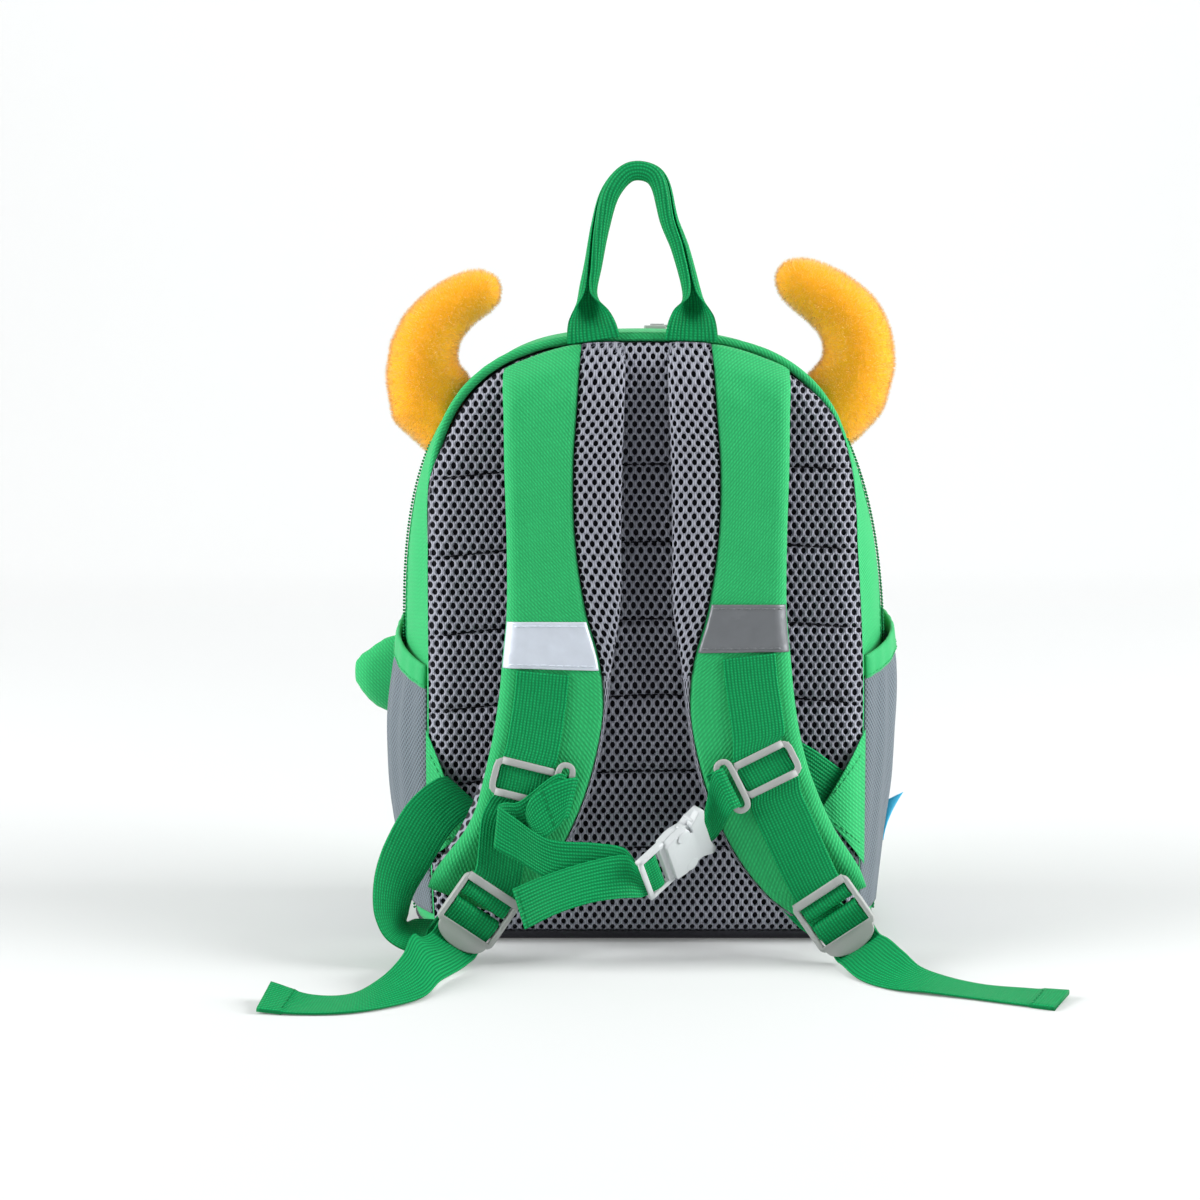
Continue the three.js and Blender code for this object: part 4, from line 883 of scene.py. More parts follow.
def panel_half(depth, z):
    """Half width of a panel inside its piping."""
    top = column(BODY, "height", depth) - PANEL_INSET
    return half_width(depth, z + z / top * PANEL_INSET) - PANEL_INSET


def panel_top(depth, x):
    """Height of a panel's upper edge inside its piping."""
    wide, high, spring = (column(BODY, name, depth) for name in ("half_width", "height", "spring"))
    share = np.clip((np.abs(x) + PANEL_INSET) / wide, 0, 1)
    crown = spring + (high - spring) * (1 - share**ARCH_POWER) ** (1 / ARCH_POWER)
    return crown * (high - PANEL_INSET) / high


def overlap(side, z):
    """How far the padded edge rolls out over the bound seam; at the top the seam lies bare."""
    top = np.where(side > 0, OVER_TOP["right"], OVER_TOP["left"])
    return PANEL_OVER * smooth((top - z) / OVER_FADE)


def edge_room(x, z):
    """Distance inside the padded back's edge."""
    return np.minimum(panel_half(BACK, z) + overlap(x, z) - np.abs(x),
                      panel_top(BACK, np.maximum(np.abs(x) - overlap(x, z), 0)) - z)


def seam_rise(x, height):
    """Height of a quilting seam at x: seams bow up in the middle and rise a little to the right."""
    share = x / panel_half(BACK, height)
    bow = SEAM_BOW * np.sin(np.pi * np.minimum(height / SEAM_TOP, 1)) ** 0.5
    return height + bow * (1 - share**2) + SEAM_TILT * share


def seam_dip(away):
    """A seam's section: a sharp line at the stitches in a wider dip."""
    return 0.75 * np.exp(-(away / 1.7) ** 2) + 0.4 * np.exp(-(away / 5.5) ** 2)


def quilt(x, z):
    """How far the padded back stands off its seam plane."""
    room = np.minimum(edge_room(x, z), (z - BASE_RIM) * 1.3)
    roll = 1 - (1 - np.clip(room / PANEL_ROLL, 0, 1)) ** 2.4
    fade = smooth((z - CHANNEL_LOW) / CHANNEL_FADE) * smooth((CHANNEL_HIGH - z) / CHANNEL_FADE)
    sink = CHANNEL * np.exp(-(x / CHANNEL_HALF) ** 4) * fade
    pucker = 1 + 0.3 * ripple(x, z * 0.3, 11, 13)
    strength = np.where(np.abs(x) < SEAM_MIDDLE, SEAM_SOFT, SEAM_FIRM)
    for height in SEAMS:
        sink = sink + SEAM_SINK * strength * seam_dip(z - seam_rise(x, height)) * pucker
    return PANEL_EDGE + np.maximum(PANEL_PAD + 0.7 - sink + 0.18 * ripple(x, z, 3, 34), 0.4) * roll


def net(weft, middles, place):
    """A knitted net: one open hole in every cell of a staggered lattice.
    place(a, b, drop) gives points at cloth coordinates a, b, sunk by drop."""
    pitch, row = in_mm("hole_pitch"), in_mm("hole_row")
    waist = (row**2 - pitch**2 / 4) / (2 * row)
    tip = row - waist
    six = np.array([[pitch / 2, -waist], [pitch / 2, waist], [0, tip],
                    [-pitch / 2, waist], [-pitch / 2, -waist], [0, -tip]])
    ring = np.stack([six, (six + np.roll(six, -1, 0)) / 2], 1).reshape(-1, 2)
    angle = np.arctan2(ring[:, 1], ring[:, 0])
    rim = np.stack([np.cos(angle) * pitch * HOLE_WIDE, np.sin(angle) * row * HOLE_TALL], 1)
    crest = np.where(np.abs(ring[:, 0]) > pitch * 0.45, SIDE_SINK, CROSSING_SINK)
    outer = (middles[:, None] + ring).reshape(-1, 2)
    # Neighbouring cells share a corner where both fall in one step; the shift keeps corners off its limits.
    steps = np.round(outer / NET_STEP + 0.1).astype(int)
    _, first, shared = np.unique(steps, axis=0, return_index=True, return_inverse=True)
    shared = shared.reshape(len(middles), -1)
    rim_at, foot_at = (middles[:, None] + rim * part for part in (1, HOLE_TAPER))
    flat = np.concatenate([outer[first], rim_at.reshape(-1, 2), foot_at.reshape(-1, 2)])
    drop = np.concatenate([np.tile(crest, len(middles))[first], np.full(len(outer), RIM_SINK),
                           np.full(len(outer), WALL_SINK)])
    rims = len(first) + np.arange(len(outer)).reshape(shared.shape)
    feet = rims + len(outer)
    turn = np.roll(np.arange(len(ring)), -1)
    faces = np.concatenate([
        np.stack([shared, shared[:, turn], rims[:, turn], rims], -1).reshape(-1, 4),
        np.stack([rims, rims[:, turn], feet[:, turn], feet], -1).reshape(-1, 4)])
    weft.add(place(flat[:, 0], flat[:, 1], drop), faces, flat[faces])
    weft.size += len(flat)


def lattice(low_a, high_a, low_b, high_b):
    """Middles of a net's holes: every other row is moved by half a pitch."""
    pitch = in_mm("hole_pitch")
    rows = []
    for i, b in enumerate(np.arange(low_b, high_b, in_mm("hole_row"))):
        a = np.arange(low_a + (i % 2) * pitch / 2, high_a, pitch)
        rows.append(np.column_stack([a, np.full(len(a), b)]))
    return np.concatenate(rows)


def panel_shares(count):
    """Places across a panel from -1 to 1, closer together at its edges."""
    most = np.pi / 2 * 0.98
    return np.sin(np.linspace(-1, 1, count) * most) / np.sin(most)


def panel_ring(depth, z, shares, face, rear):
    """One row of a panel: its face, then its rear in the other direction."""
    x = shares * np.maximum(panel_half(depth, z) + (overlap(shares, z) if depth == BACK else 0), 0.5)
    side = -1 if depth == BACK else 1
    front = np.stack([x, depth + side * face(x, np.full_like(x, z)), np.full_like(x, z)], 1)
    back = np.stack([x, depth + side * rear(x, np.full_like(x, z)), np.full_like(x, z)], 1)
    return np.concatenate([front, back[::-1]]) + [lean(z), 0, 0]


class BACKPACK_OT_back_panel(bpy.types.Operator):
    """Build the quilted back: padding painted near-black as shade, under a knitted net with open holes"""
    bl_idname = "backpack.back_panel"
    bl_label = "Padded back"
    bl_options = {"REGISTER", "UNDO"}

    def execute(self, context):
        self.quilting()
        self.netting()
        return {"FINISHED"}

    def quilting(self):
        """The padding, painted near-black as the shade seen through the net's holes, with the stitches that
        hold it down.
        """
        def padding(x, z):
            return quilt(x, z) - 0.7 - np.clip(edge_room(x, z) / 4, 0, 1)

        shares = panel_shares(71)
        pad = Weft()
        pad.loft(np.stack([panel_ring(BACK, z, shares, padding, lambda x, h: x * 0) for z in BACK_ROWS]))
        # Painted shade, in part: the seam stitches take the near-black pile colour and draw each seam
        # crease's shade as a dark line.
        for height in SEAMS:
            wide = panel_half(BACK, height) - 3
            x = np.linspace(-wide, wide, 260)
            z = seam_rise(x, height)
            line = np.stack([x + lean(z), BACK - quilt(x, z) - 0.1, z], 1)
            stitches(pad, line, (0, -1, 0), pitch=1.2, radius=0.34)
        # The pad takes the near-black pile: painted shade behind the net's holes.
        made = pad.piece("back_panel_pad", "spacer_mesh", finishes("pile", "dark_thread_and_seam_shade"), ["back_panel"])

    def netting(self):
        """The open net over the padding, drawn in at the seams and held within the panel's edge."""
        middles = lattice(*BACK_NET)
        middles = middles[edge_room(middles[:, 0], middles[:, 1]) > -1.2]

        def place(a, b, drop):
            for height in SEAMS:
                away = b - seam_rise(a, height)
                b = b - SEAM_PULL * away * np.exp(-(away / SEAM_PULL_RUN) ** 2)
            top = panel_top(BACK, np.maximum(np.abs(a) - overlap(a, b), 0))
            b = np.clip(b, BASE_RIM + GAP, top - 0.2)
            wide = panel_half(BACK, b) + overlap(a, b)
            a = np.clip(a, -wide, wide)
            return np.stack([a + lean(b), BACK - (quilt(a, b) - drop), b], 1)

        knit = Weft()
        net(knit, middles, place)
        knit.piece("back_panel_mesh", "spacer_mesh", finishes("yarn"), tidy=False)


class BACKPACK_OT_body(bpy.types.Operator):
    """Build the gussets, the bound seams and the plain front"""
    bl_idname = "backpack.body"
    bl_label = "Gussets, bound seams and front"
    bl_options = {"REGISTER", "UNDO"}

    def execute(self, context):
        gusset("gusset_rear", BACK + PANEL_INSET, ZIP_FROM - GAP, 21)
        gusset("gusset_front", ZIP_TO + GAP, FRONT - PANEL_INSET, 22)
        piping("back_piping", BACK)
        piping("front_piping", FRONT)
        self.front()
        return {"FINISHED"}

    def front(self):
        """The plain front, softly domed."""
        def dome(x, z):
            share = np.clip(x / np.maximum(panel_half(FRONT, z), 0.5), -1, 1)
            rise = (1 - np.abs(share) ** 3) * np.sin(np.pi * np.clip(z / FRONT_HIGH, 0, 1))
            return FRONT_DOME * rise + 0.8 * ripple(x, z, 8, 60) * np.clip(rise * 3, 0, 1)

        shares = panel_shares(49)
        weft = Weft()
        weft.loft(np.stack([panel_ring(FRONT, z, shares, lambda x, h: CLOTH + dome(x, h), dome)
                            for z in FRONT_ROWS]))
        made = weft.piece("front_panel_cloth", "twill", finishes("twill"), ["front_panel"])
        area = np.trapz(2 * panel_half(FRONT, FRONT_ROWS), FRONT_ROWS) * MM * MM


class BACKPACK_OT_zip(bpy.types.Operator):
    """Build the coil zip over the top and its slider"""
    bl_idname = "backpack.zip"
    bl_label = "Zip"
    bl_options = {"REGISTER", "UNDO"}

    def execute(self, context):
        middle = (ZIP_FROM + ZIP_TO) / 2
        self.chain(middle)
        self.slider(middle)
        return {"FINISHED"}

    def chain(self, middle):
        """The tape with its two rows of coil turns."""
        depths = np.array([ZIP_FROM, ZIP_FROM + 1.6, middle - 0.3, middle,
                           middle + 0.3, ZIP_TO - 1.6, ZIP_TO])
        outs = np.array([0, 0.35, 0.45, 0.2, 0.45, 0.35, 0])
        weft = Weft()
        weft.loft(arch_band(np.append(depths, depths[::-1]), np.append(outs, outs[::-1] - 1.4), ARCH_COUNT))
        centre, top = arch(middle, 0.8, COIL_COUNT), arch(middle, 1.8, COIL_COUNT)
        up = unit(top - centre)
        along = unit(np.gradient(centre, axis=0))
        across = np.array([0, 1.0, 0])
        angle = circle(6)
        share = np.array([-1, -0.8, 0, 0.8, 1]) * 1.75
        rise = np.array([0, 0.3, 0.5, 0.3, 0])
        thick = np.array([0.2, 0.48, 0.5, 0.48, 0.2])
        for half, offset in ((-1, 0), (1, 0.5)):
            at = centre + along * offset * 0.8
            line = at[:, None] + across * (share * 0.62 + half * 0.85)[:, None] + up[:, None] * rise[:, None]
            spokes = along[:, None] * np.cos(angle)[:, None] + up[:, None] * np.sin(angle)[:, None]
            weft.many(line[:, :, None] + spokes[:, None] * thick[:, None, None])
        weft.piece("zip_chain_coil", "zip", finishes("webbing"), ["zip_chain"])

    def slider(self, middle):
        """The slider's body, its bridge and its flat pull, at the crown of the arch."""
        here = (arch(middle, 0, 2)[1], *np.eye(3))
        body = rounded([(2, -3.2), (13, -2.6), (13, 2.6), (2, 3.2)], 1.2)
        bridge = box_outline(5, -1.1, 12, 1.1, 0.8)
        pull = rounded([(11, -2.4), (32, -2.2), (32, 2.2), (11, 2.4)], 1.6)
        plates = [(body, 0.3, 2.6, 0.5), (bridge, 2.4, 3.4, 0.3), (pull, 1.6, 2.9, 0.5)]
        weft = Weft()
        for shape, low, high, bevel in plates:
            plate(weft, here, shape, ZIP_RISE + low, ZIP_RISE + high, bevel)
        weft.piece("zip_slider_body", "grey_plastic", finishes("grey"), ["zip_slider"])


class BACKPACK_OT_base(bpy.types.Operator):
    """Build the dark base with its turned-up edge"""
    bl_idname = "backpack.base"
    bl_label = "Base"
    bl_options = {"REGISTER", "UNDO"}

    def execute(self, context):
        depths = np.linspace(BACK, FRONT, 41)

        def ring(z, inset):
            y = np.clip(depths, BACK + inset, FRONT - inset)
            right = np.stack([half_width(depths, z) - inset, y, np.full_like(y, z)], 1)
            return np.concatenate([right, right[::-1] * [-1, 1, 1]])

        rows = [(0, BASE_FLAT), (0, BASE_ROUND), (0.4, 2.2), (1.2, 1.0), (2.2, 0.3), (BASE_ROUND, 0),
                (BASE_RIM - 0.9, -0.15), (BASE_RIM - 0.3, 0.1), (BASE_RIM, 0.7), (BASE_RIM - 0.6, CLOTH),
                (BASE_ROUND, CLOTH), (2.4, BASE_ROUND), (1.8, BASE_FLAT)]
        weft = Weft()
        weft.loft(np.stack([ring(z, inset) for z, inset in rows]))
        line = ring(BASE_RIM - 1.2, -0.15)
        line = np.concatenate([line, line[:1]])
        stitches(weft, line, line * [1, 1, 0])
        made = weft.piece("bottom_panel_cloth", "base_cloth", finishes("base", "dark_thread_and_seam_shade"),
                          ["bottom_panel"])
        return {"FINISHED"}


def pocket_top(side, share):
    """Height of a pocket's mouth at a share of the way from back to front."""
    low = POCKET_TOP_BACK[side]
    return low + share * (POCKET_TOP_FRONT - low)


def pocket_point(side, share, z, extra):
    """A place on a pocket, moved out by extra."""
    depth = POCKET_BACK + share * (POCKET_FRONT - POCKET_BACK)
    swell = np.sin(np.pi * np.clip(share, 0, 1)) ** 0.6
    out = column(BULGE, "left" if side < 0 else "right", z) * swell
    x = side * (half_width(depth, z) + GAP + out + extra) + lean(z)
    return np.stack([x, depth + 0 * z, z + 0 * depth], -1)


class BACKPACK_OT_pockets(bpy.types.Operator):
    """Build the gathered mesh side pockets, their bands and the blue tab"""
    bl_idname = "backpack.pockets"
    bl_label = "Side pockets"
    bl_options = {"REGISTER", "UNDO"}

    def execute(self, context):
        shares = np.linspace(0, 1, 81)
        for name, side in SIDES.items():
            self.mesh(name, side, shares)
            self.band(name, side, shares)
        self.tab()
        return {"FINISHED"}

    def mesh(self, name, side, shares):
        """The pocket's mesh, with folds that gather towards its mouth."""
        wave = np.sin(shares * 2 * np.pi * GATHERS + 1.3 * np.sin(shares * 9))
        rows = []
        for t in np.linspace(0, 1, 60):
            z = POCKET_FOOT + t * (pocket_top(side, shares) - BAND_HEIGHT + 1.6 - POCKET_FOOT)
            gather = GATHER_DEEP * wave * (0.25 + 0.75 * t**1.5)
            crease = CREASE_DEEP * ripple(shares * (POCKET_FRONT - POCKET_BACK), z, 31, 42)
            fold = (gather + crease) * np.sin(np.pi * shares) ** 0.7 * smooth((1 - t) / 0.06)
            outer = pocket_point(side, shares, z, POCKET_WALL - 0.2 + fold)
            inner = pocket_point(side, shares, z, 0.3 + np.minimum(fold, 0))
            rows.append(np.concatenate([outer, inner[::-1]]))
        rows = np.stack(rows)
        weft = Weft()
        weft.loft(rows)
        made = weft.piece(f"pocket_{name}_mesh", "pocket_mesh", finishes("pocket"), [f"pocket_{name}"])

    def band(self, name, side, shares):
        """Folded binding round the pocket's mouth, sewn near its lower edge."""
        turn = circle(20)
        lift, deep = square_off(np.sin(turn), 0.6), square_off(np.cos(turn), 0.6)
        pinch = 0.22 * np.sin(shares * 2 * np.pi * 9 + 2 * np.sin(shares * 11))
        rings = np.stack([
            pocket_point(side, np.full(len(turn), s), pocket_top(side, s) - BAND_HEIGHT / 2 * (1 - lift),
                         BAND_WALL / 2 + deep * BAND_WALL / 2 + p * (deep > 0))
            for s, p in zip(shares, pinch)])
        weft = Weft()
        weft.loft(rings)
        line = pocket_point(side, shares, pocket_top(side, shares) - BAND_HEIGHT + 1.8,
                            BAND_WALL + 0.05 + pinch)
        stitches(weft, line, (side, 0, 0))
        made = weft.piece(f"pocket_band_{name}_binding", "webbing", finishes("binding", "green_thread"),
                          [f"pocket_band_{name}"])

    def tab(self):
        """Plain blue ribbon folded in two and caught in the pocket's side."""
        turn = circle(14)
        share = 0.5 - 0.5 * np.cos(turn)
        rows = []
        for t in np.linspace(0, 1, 16):
            root = pocket_point(1, np.array(0.5), np.array(TAB_FOOT + TAB_HEIGHT * t), POCKET_WALL + 0.2)
            reach = TAB_ROOT + TAB_REACH * t**2.2
            rows.append(np.stack([root[0] + share * reach, root[1] + np.sin(turn) * (0.7 + 0.2 * share) + 0.6,
                                  root[2] + TAB_LIFT * t**2 * share], 1))
        weft = Weft()
        weft.loft(np.stack(rows))
        weft.piece("side_label_tab", "label", finishes("label"), ["side_label"])


# Frames of fittings: a place, u across, v up and n to the front.
def frame_of(at, across, up):
    """A frame at a place, from its rough direction across and its direction up."""
    v = unit(up)
    across = np.asarray(across, float)
    u = unit(across - (across * v).sum(-1, keepdims=True) * v)
    n = np.cross(u, v)
    return np.asarray(at, float), u, v, np.where(n[..., 1:2] > 0, -n, n)


def put(here, local):
    """Moves points given as u, v, n into the bag."""
    at, u, v, n = here
    return at + local[..., :1] * u + local[..., 1:2] * v + local[..., 2:] * n


def strap_edges(side, run):
    """A strap's inner and outer edge, down its run."""
    return [np.stack([side * column(STRAP, edge + "_x", run), column(STRAP, edge + "_y", run),
                      column(STRAP, edge + "_z", run)], -1) for edge in ("inner", "outer")]


def strap_width(side, run):
    """A strap's width, down its run."""
    inner, outer = strap_edges(side, run)
    return np.linalg.norm(outer - inner, axis=-1)


def strap_frame(side, run, share):
    """Frames down a strap, at a share of its width from the inner edge."""
    def middle(at):
        inner, outer = strap_edges(side, at)
        return inner + (outer - inner) * share

    low = np.minimum(run + 4, STRAP_END)
    inner, outer = strap_edges(side, run)
    return frame_of(middle(run), outer - inner, middle(low - 8) - middle(low))


def strap_point(side, run, s, h):
    """s is mm from the inner edge, h the lift from the strap's middle surface; one row for each run."""
    inner, outer = strap_edges(side, run)
    front = strap_frame(side, run, 0.5)[3]
    share = s / strap_width(side, run)[:, None]
    near = np.maximum(1 - run / STRAP_CROWN_RUN, 0)[:, None] ** 2
    rise = STRAP_CROWN * near * np.sin(np.pi * np.clip(share, 0, 1))
    tuck = STRAP_TUCK * np.maximum(1 - run / STRAP_TUCK_RUN, 0)[:, None] ** 2 + 0 * s
    flat = inner[:, None] + unit(outer - inner)[:, None] * s[..., None] + front[:, None] * h[..., None]
    return flat + np.stack([0 * rise, tuck, rise], -1)


def slider_frame(side):
    """Frame of a chest strap slider, turned a little on its strap."""
    run = np.array(SLIDER_RUN[side])
    at, u, v, n = strap_frame(side, run, WEBBING_SHARE)
    at = at + n * (column(STRAP, "thick", run) / 2 + SLIDER_LIFT)
    u = unit(u + v * SLIDER_TURN[side])
    v = unit(v - u * (v * u).sum())
    return at, u, v, n


def lock_frame(side):
    """Frame of a ladder lock, which hangs below its strap."""
    flip = np.array([side, 1, 1])
    return frame_of(LOCK_AT[side] * flip, LOCK_ACROSS * flip, LOCK_UP * flip)


def buckle_frame():
    """Frame of the fastened buckle."""
    return frame_of(BUCKLE_AT, BUCKLE_ACROSS, BUCKLE_AXIS)


def strap_half(run):
    """Half thickness, pinched at the sewn top and rounded at the foot."""
    foot = np.sqrt(1 - np.clip((run - STRAP_FOOT) / STRAP_FOOT_RUN, 0, 1) ** 2)
    sewn = 0.5 + 0.5 * smooth(run / STRAP_TUCK_RUN)
    return column(STRAP, "thick", run) / 2 * foot * sewn


def green_width(side, run):
    """Width to the green cloth's outer edge, which draws back from the left strap's lining near its foot."""
    bare = BARE_EDGE * np.exp(-((run - BARE_MIDDLE) / BARE_RUN) ** 2) if side < 0 else 0
    return (strap_width(side, run) - bare)[:, None]


def strap_top(side, run, s):
    """Lift of the strap's green face at s mm from the inner edge."""
    wide = green_width(side, run)
    half = strap_half(run)[:, None]
    mesh = column(STRAP, "mesh", run)[:, None] + GAP
    low = LINING_TOP + GAP
    rise = np.sqrt(1 - (1 - np.clip((s - mesh) / GREEN_INNER_ROUND, 0, 1)) ** 2)
    fall = np.sqrt(1 - (1 - np.clip((wide - s) / GREEN_OUTER_ROUND, 0, 1)) ** 2)
    seam = half * 0.35
    crown = np.minimum(seam + (half - seam) * rise, low + (half - low) * fall)
    run = run[:, None]
    creases = 0.22 * ripple(s, run, 41, 26) + 0.5 * np.exp(-((run - 20) / 10) ** 2) * ripple(s, run, 43, 17)
    return crown + creases * np.clip((wide - s) / 6, 0, 1) * np.clip((s - mesh) / 4, 0, 1)


def lining_edge(run, d):
    """Where the mesh lining lies d mm from the green seam, over the inner edge and round below it."""
    half, mesh = strap_half(run)[:, None], column(STRAP, "mesh", run)[:, None]
    flat = mesh - LINING_ROUND
    turn = np.clip((d - flat) / LINING_TURN, 0, 1.2) * np.pi / 2
    s = np.where(d < flat, mesh - d, LINING_ROUND - LINING_ROUND * np.sin(np.minimum(turn, 1.9)))
    rise = half * (0.35 + 0.65 * np.sqrt(1 - (1 - np.clip(d / LINING_ROUND, 0, 1)) ** 2))
    fall = half - (half + 1.6) * (1 - np.cos(turn))
    return s, np.where(d < flat, rise, np.minimum(rise, fall))


class BACKPACK_OT_straps(bpy.types.Operator):
    """Build the padded shoulder straps with their mesh lining"""
    bl_idname = "backpack.straps"
    bl_label = "Shoulder straps"
    bl_options = {"REGISTER", "UNDO"}

    def execute(self, context):
        for name, side in SIDES.items():
            self.face(name, side)
            self.lining(name, side)
            self.netting(name, side)
        return {"FINISHED"}

    def face(self, name, side):
        """The padded green cloth."""
        run = STRAP_ROWS
        wide = green_width(side, run)
        start = column(STRAP, "mesh", run)[:, None] + GAP
        share = (1 - np.cos(np.linspace(0, 1, 34) * np.pi)) / 2
        s = start + (wide - start) * share
        top = strap_point(side, run, s, strap_top(side, run, s))
        back = np.linspace(1, 0, 12)
        low = start + (wide - start) * back
        bottom = strap_point(side, run, low, np.full_like(low, LINING_TOP + GAP))
        weft = Weft()
        weft.loft(np.concatenate([top, bottom], 1))
        made = weft.piece(f"shoulder_strap_{name}_pad", "twill", finishes("twill"),
                          [f"shoulder_strap_{name}"])

    def lining(self, name, side):
        """The padding under the green cloth and inside the net, round to the strap's back."""
        run = STRAP_ROWS
        mesh, wide, half = (values[:, None] for values in (
            column(STRAP, "mesh", run), strap_width(side, run), strap_half(run)))
        cover = np.clip((mesh - 3) / 3, 0, 1)
        s, h = lining_edge(run, np.linspace(0, 1, 22) * (mesh + 3.5))
        top = strap_point(side, run, s + 0.5 * cover, np.maximum(h - 1.7 * cover, LINING_TOP + 0.05))
        share = np.linspace(0, 1, 16)
        low_s = 3 + (wide - 6) * share
        under = strap_point(side, run, low_s, -half * (1 - 0.5 * (2 * share - 1) ** 8))
        turn = np.linspace(0.2, 1, 6) * np.pi / 2
        rim_h = -half * 0.5 + (LINING_TOP + half * 0.5) * (1 - np.cos(turn))
        rim = strap_point(side, run, wide - 3 + 2.6 * np.sin(turn), rim_h)
        weft = Weft()
        weft.loft(np.concatenate([top, under, rim], 1))
        made = weft.piece(f"strap_mesh_{name}_pad", "spacer_mesh", finishes("lining", "pile"),
                          [f"strap_mesh_{name}"])
        self.paint_shade_behind_net(made, side)

    def netting(self, name, side):
        """The open net from the green seam over the strap's inner edge."""
        middles = lattice(*STRAP_NET)
        width = column(STRAP, "mesh", middles[:, 1])
        middles = middles[(middles[:, 0] < width + 7) & (width > 3.5)]

        def place(a, b, drop):
            limit = column(STRAP, "mesh", b) + 8
            s, h = lining_edge(b, np.clip(a, 0, limit)[:, None])
            return strap_point(side, b, s, h - drop[:, None])[:, 0]

        knit = Weft()
        net(knit, middles, place)
        made = knit.piece(f"strap_mesh_{name}_net", "spacer_mesh", finishes("yarn"), tidy=False)
        if side > 0:
            made.data.flip_normals()

    def paint_shade_behind_net(self, made, side):
        """Gives the padding behind the open net the near-black pile: painted shade seen through the holes."""
        normal = vectors_of(made.data.polygons, "normal")
        centre = vectors_of(made.data.polygons, "center") / MM
        # Painted shade: padding that faces out under the net, high on the strap and near the middle, is
        # painted near-black.
        dark = (normal[:, 1] < -0.1) & (centre[:, 2] > SHADE_PAINTED_ABOVE) & (side * centre[:, 0] < SHADE_PAINTED_WITHIN)
        made.data.polygons.foreach_set("material_index", dark.astype(np.int32))


class BACKPACK_OT_tapes(bpy.types.Operator):
    """Build the reflective tapes sewn across the straps"""
    bl_idname = "backpack.tapes"
    bl_label = "Reflective tapes"
    bl_options = {"REGISTER", "UNDO"}

    def execute(self, context):
        for name, side in SIDES.items():
            run = np.linspace(TAPE_RUN[name], TAPE_RUN[name] + TAPE_LENGTH, 24)
            start = column(STRAP, "mesh", run)[:, None] + 1.2
            s = start + (strap_width(side, run)[:, None] - 0.4 - start) * np.linspace(0, 1, 40)
            lift = strap_top(side, run, s) + 0.25
            crease = 0.25 * ripple(s, run[:, None], 51, 18)
            outer_face = strap_point(side, run, s, lift + TAPE_THICK + np.maximum(crease, -0.2))
            rear = strap_point(side, run, s[:, ::-1], lift[:, ::-1])
            weft = Weft()
            weft.loft(np.concatenate([outer_face, rear], 1))
            front = strap_frame(side, run, 0.5)[3]
            for row in (2, 21):
                line = outer_face[row, 1:-1]
                stitches(weft, line, front[row], radius=0.36)
            # The left tape takes the copy with a painted glow: the same tape coloured near-white as if
            # shining back at a lamp.
            finish = "tape_painted_glow" if side < 0 else "tape"
            made = weft.piece(f"reflective_tape_{name}_strip", "reflective_tape",
                              finishes(finish, "grey_thread"), [f"reflective_tape_{name}"])
        return {"FINISHED"}


# Webbing.
def ribbon(rows, width, fine=10, round_end=0.0, hem=0.0):
    """Rings round a strip of webbing with soft selvedges; the end may be rounded or turned in a hem."""
    rows = np.asarray(rows, float)
    places = np.linspace(0, len(rows) - 1, (len(rows) - 1) * fine + 1)
    at = spline(rows[:, :3], places)
    across = unit(spline(unit(rows[:, 3:]), places, 0))
    along = unit(np.gradient(at, axis=0))
    normal = unit(np.cross(along, across))
    run = run_along(at)
    left = run[-1] - run
    a = np.array([-1, -0.985, -0.93, -0.7, -0.35, 0, 0.35, 0.7, 0.93, 0.985, 1])
    b = np.array([0, 0.75, 1, 0.96, 0.92, 0.92, 0.92, 0.96, 1, 0.75, 0])
    a, b = np.append(a, a[-2:0:-1]), np.append(b, -b[-2:0:-1])
    taper = np.sqrt(1 - np.clip((round_end - left) / round_end, 0, 0.985) ** 2) if round_end else 1
    wide = np.broadcast_to(width / 2 * taper, run.shape)
    folded = 0.9 * smooth((hem - left) / 1.2) if hem else np.zeros_like(run)
    thick = WEB_THICK / 2 * (1 + folded)
    rings = (at[:, None] + across[:, None] * (a * wide[:, None])[..., None]
             + normal[:, None] * (b * thick[:, None])[..., None])
    return rings, run


def threaded(here, places):
    """Rows that bend about a frame's u."""
    return [(*put(here, np.array([0, v, n], float)), *here[1]) for v, n in places]


def looped(here, places, slip=0.0):
    """Rows that bend about a frame's v, round the slider's loop, slipped along it."""
    return [(*put(here, np.array([LOOP_BAR + u, slip, LOOP_LIFT + n], float)), *here[2]) for u, n in places]


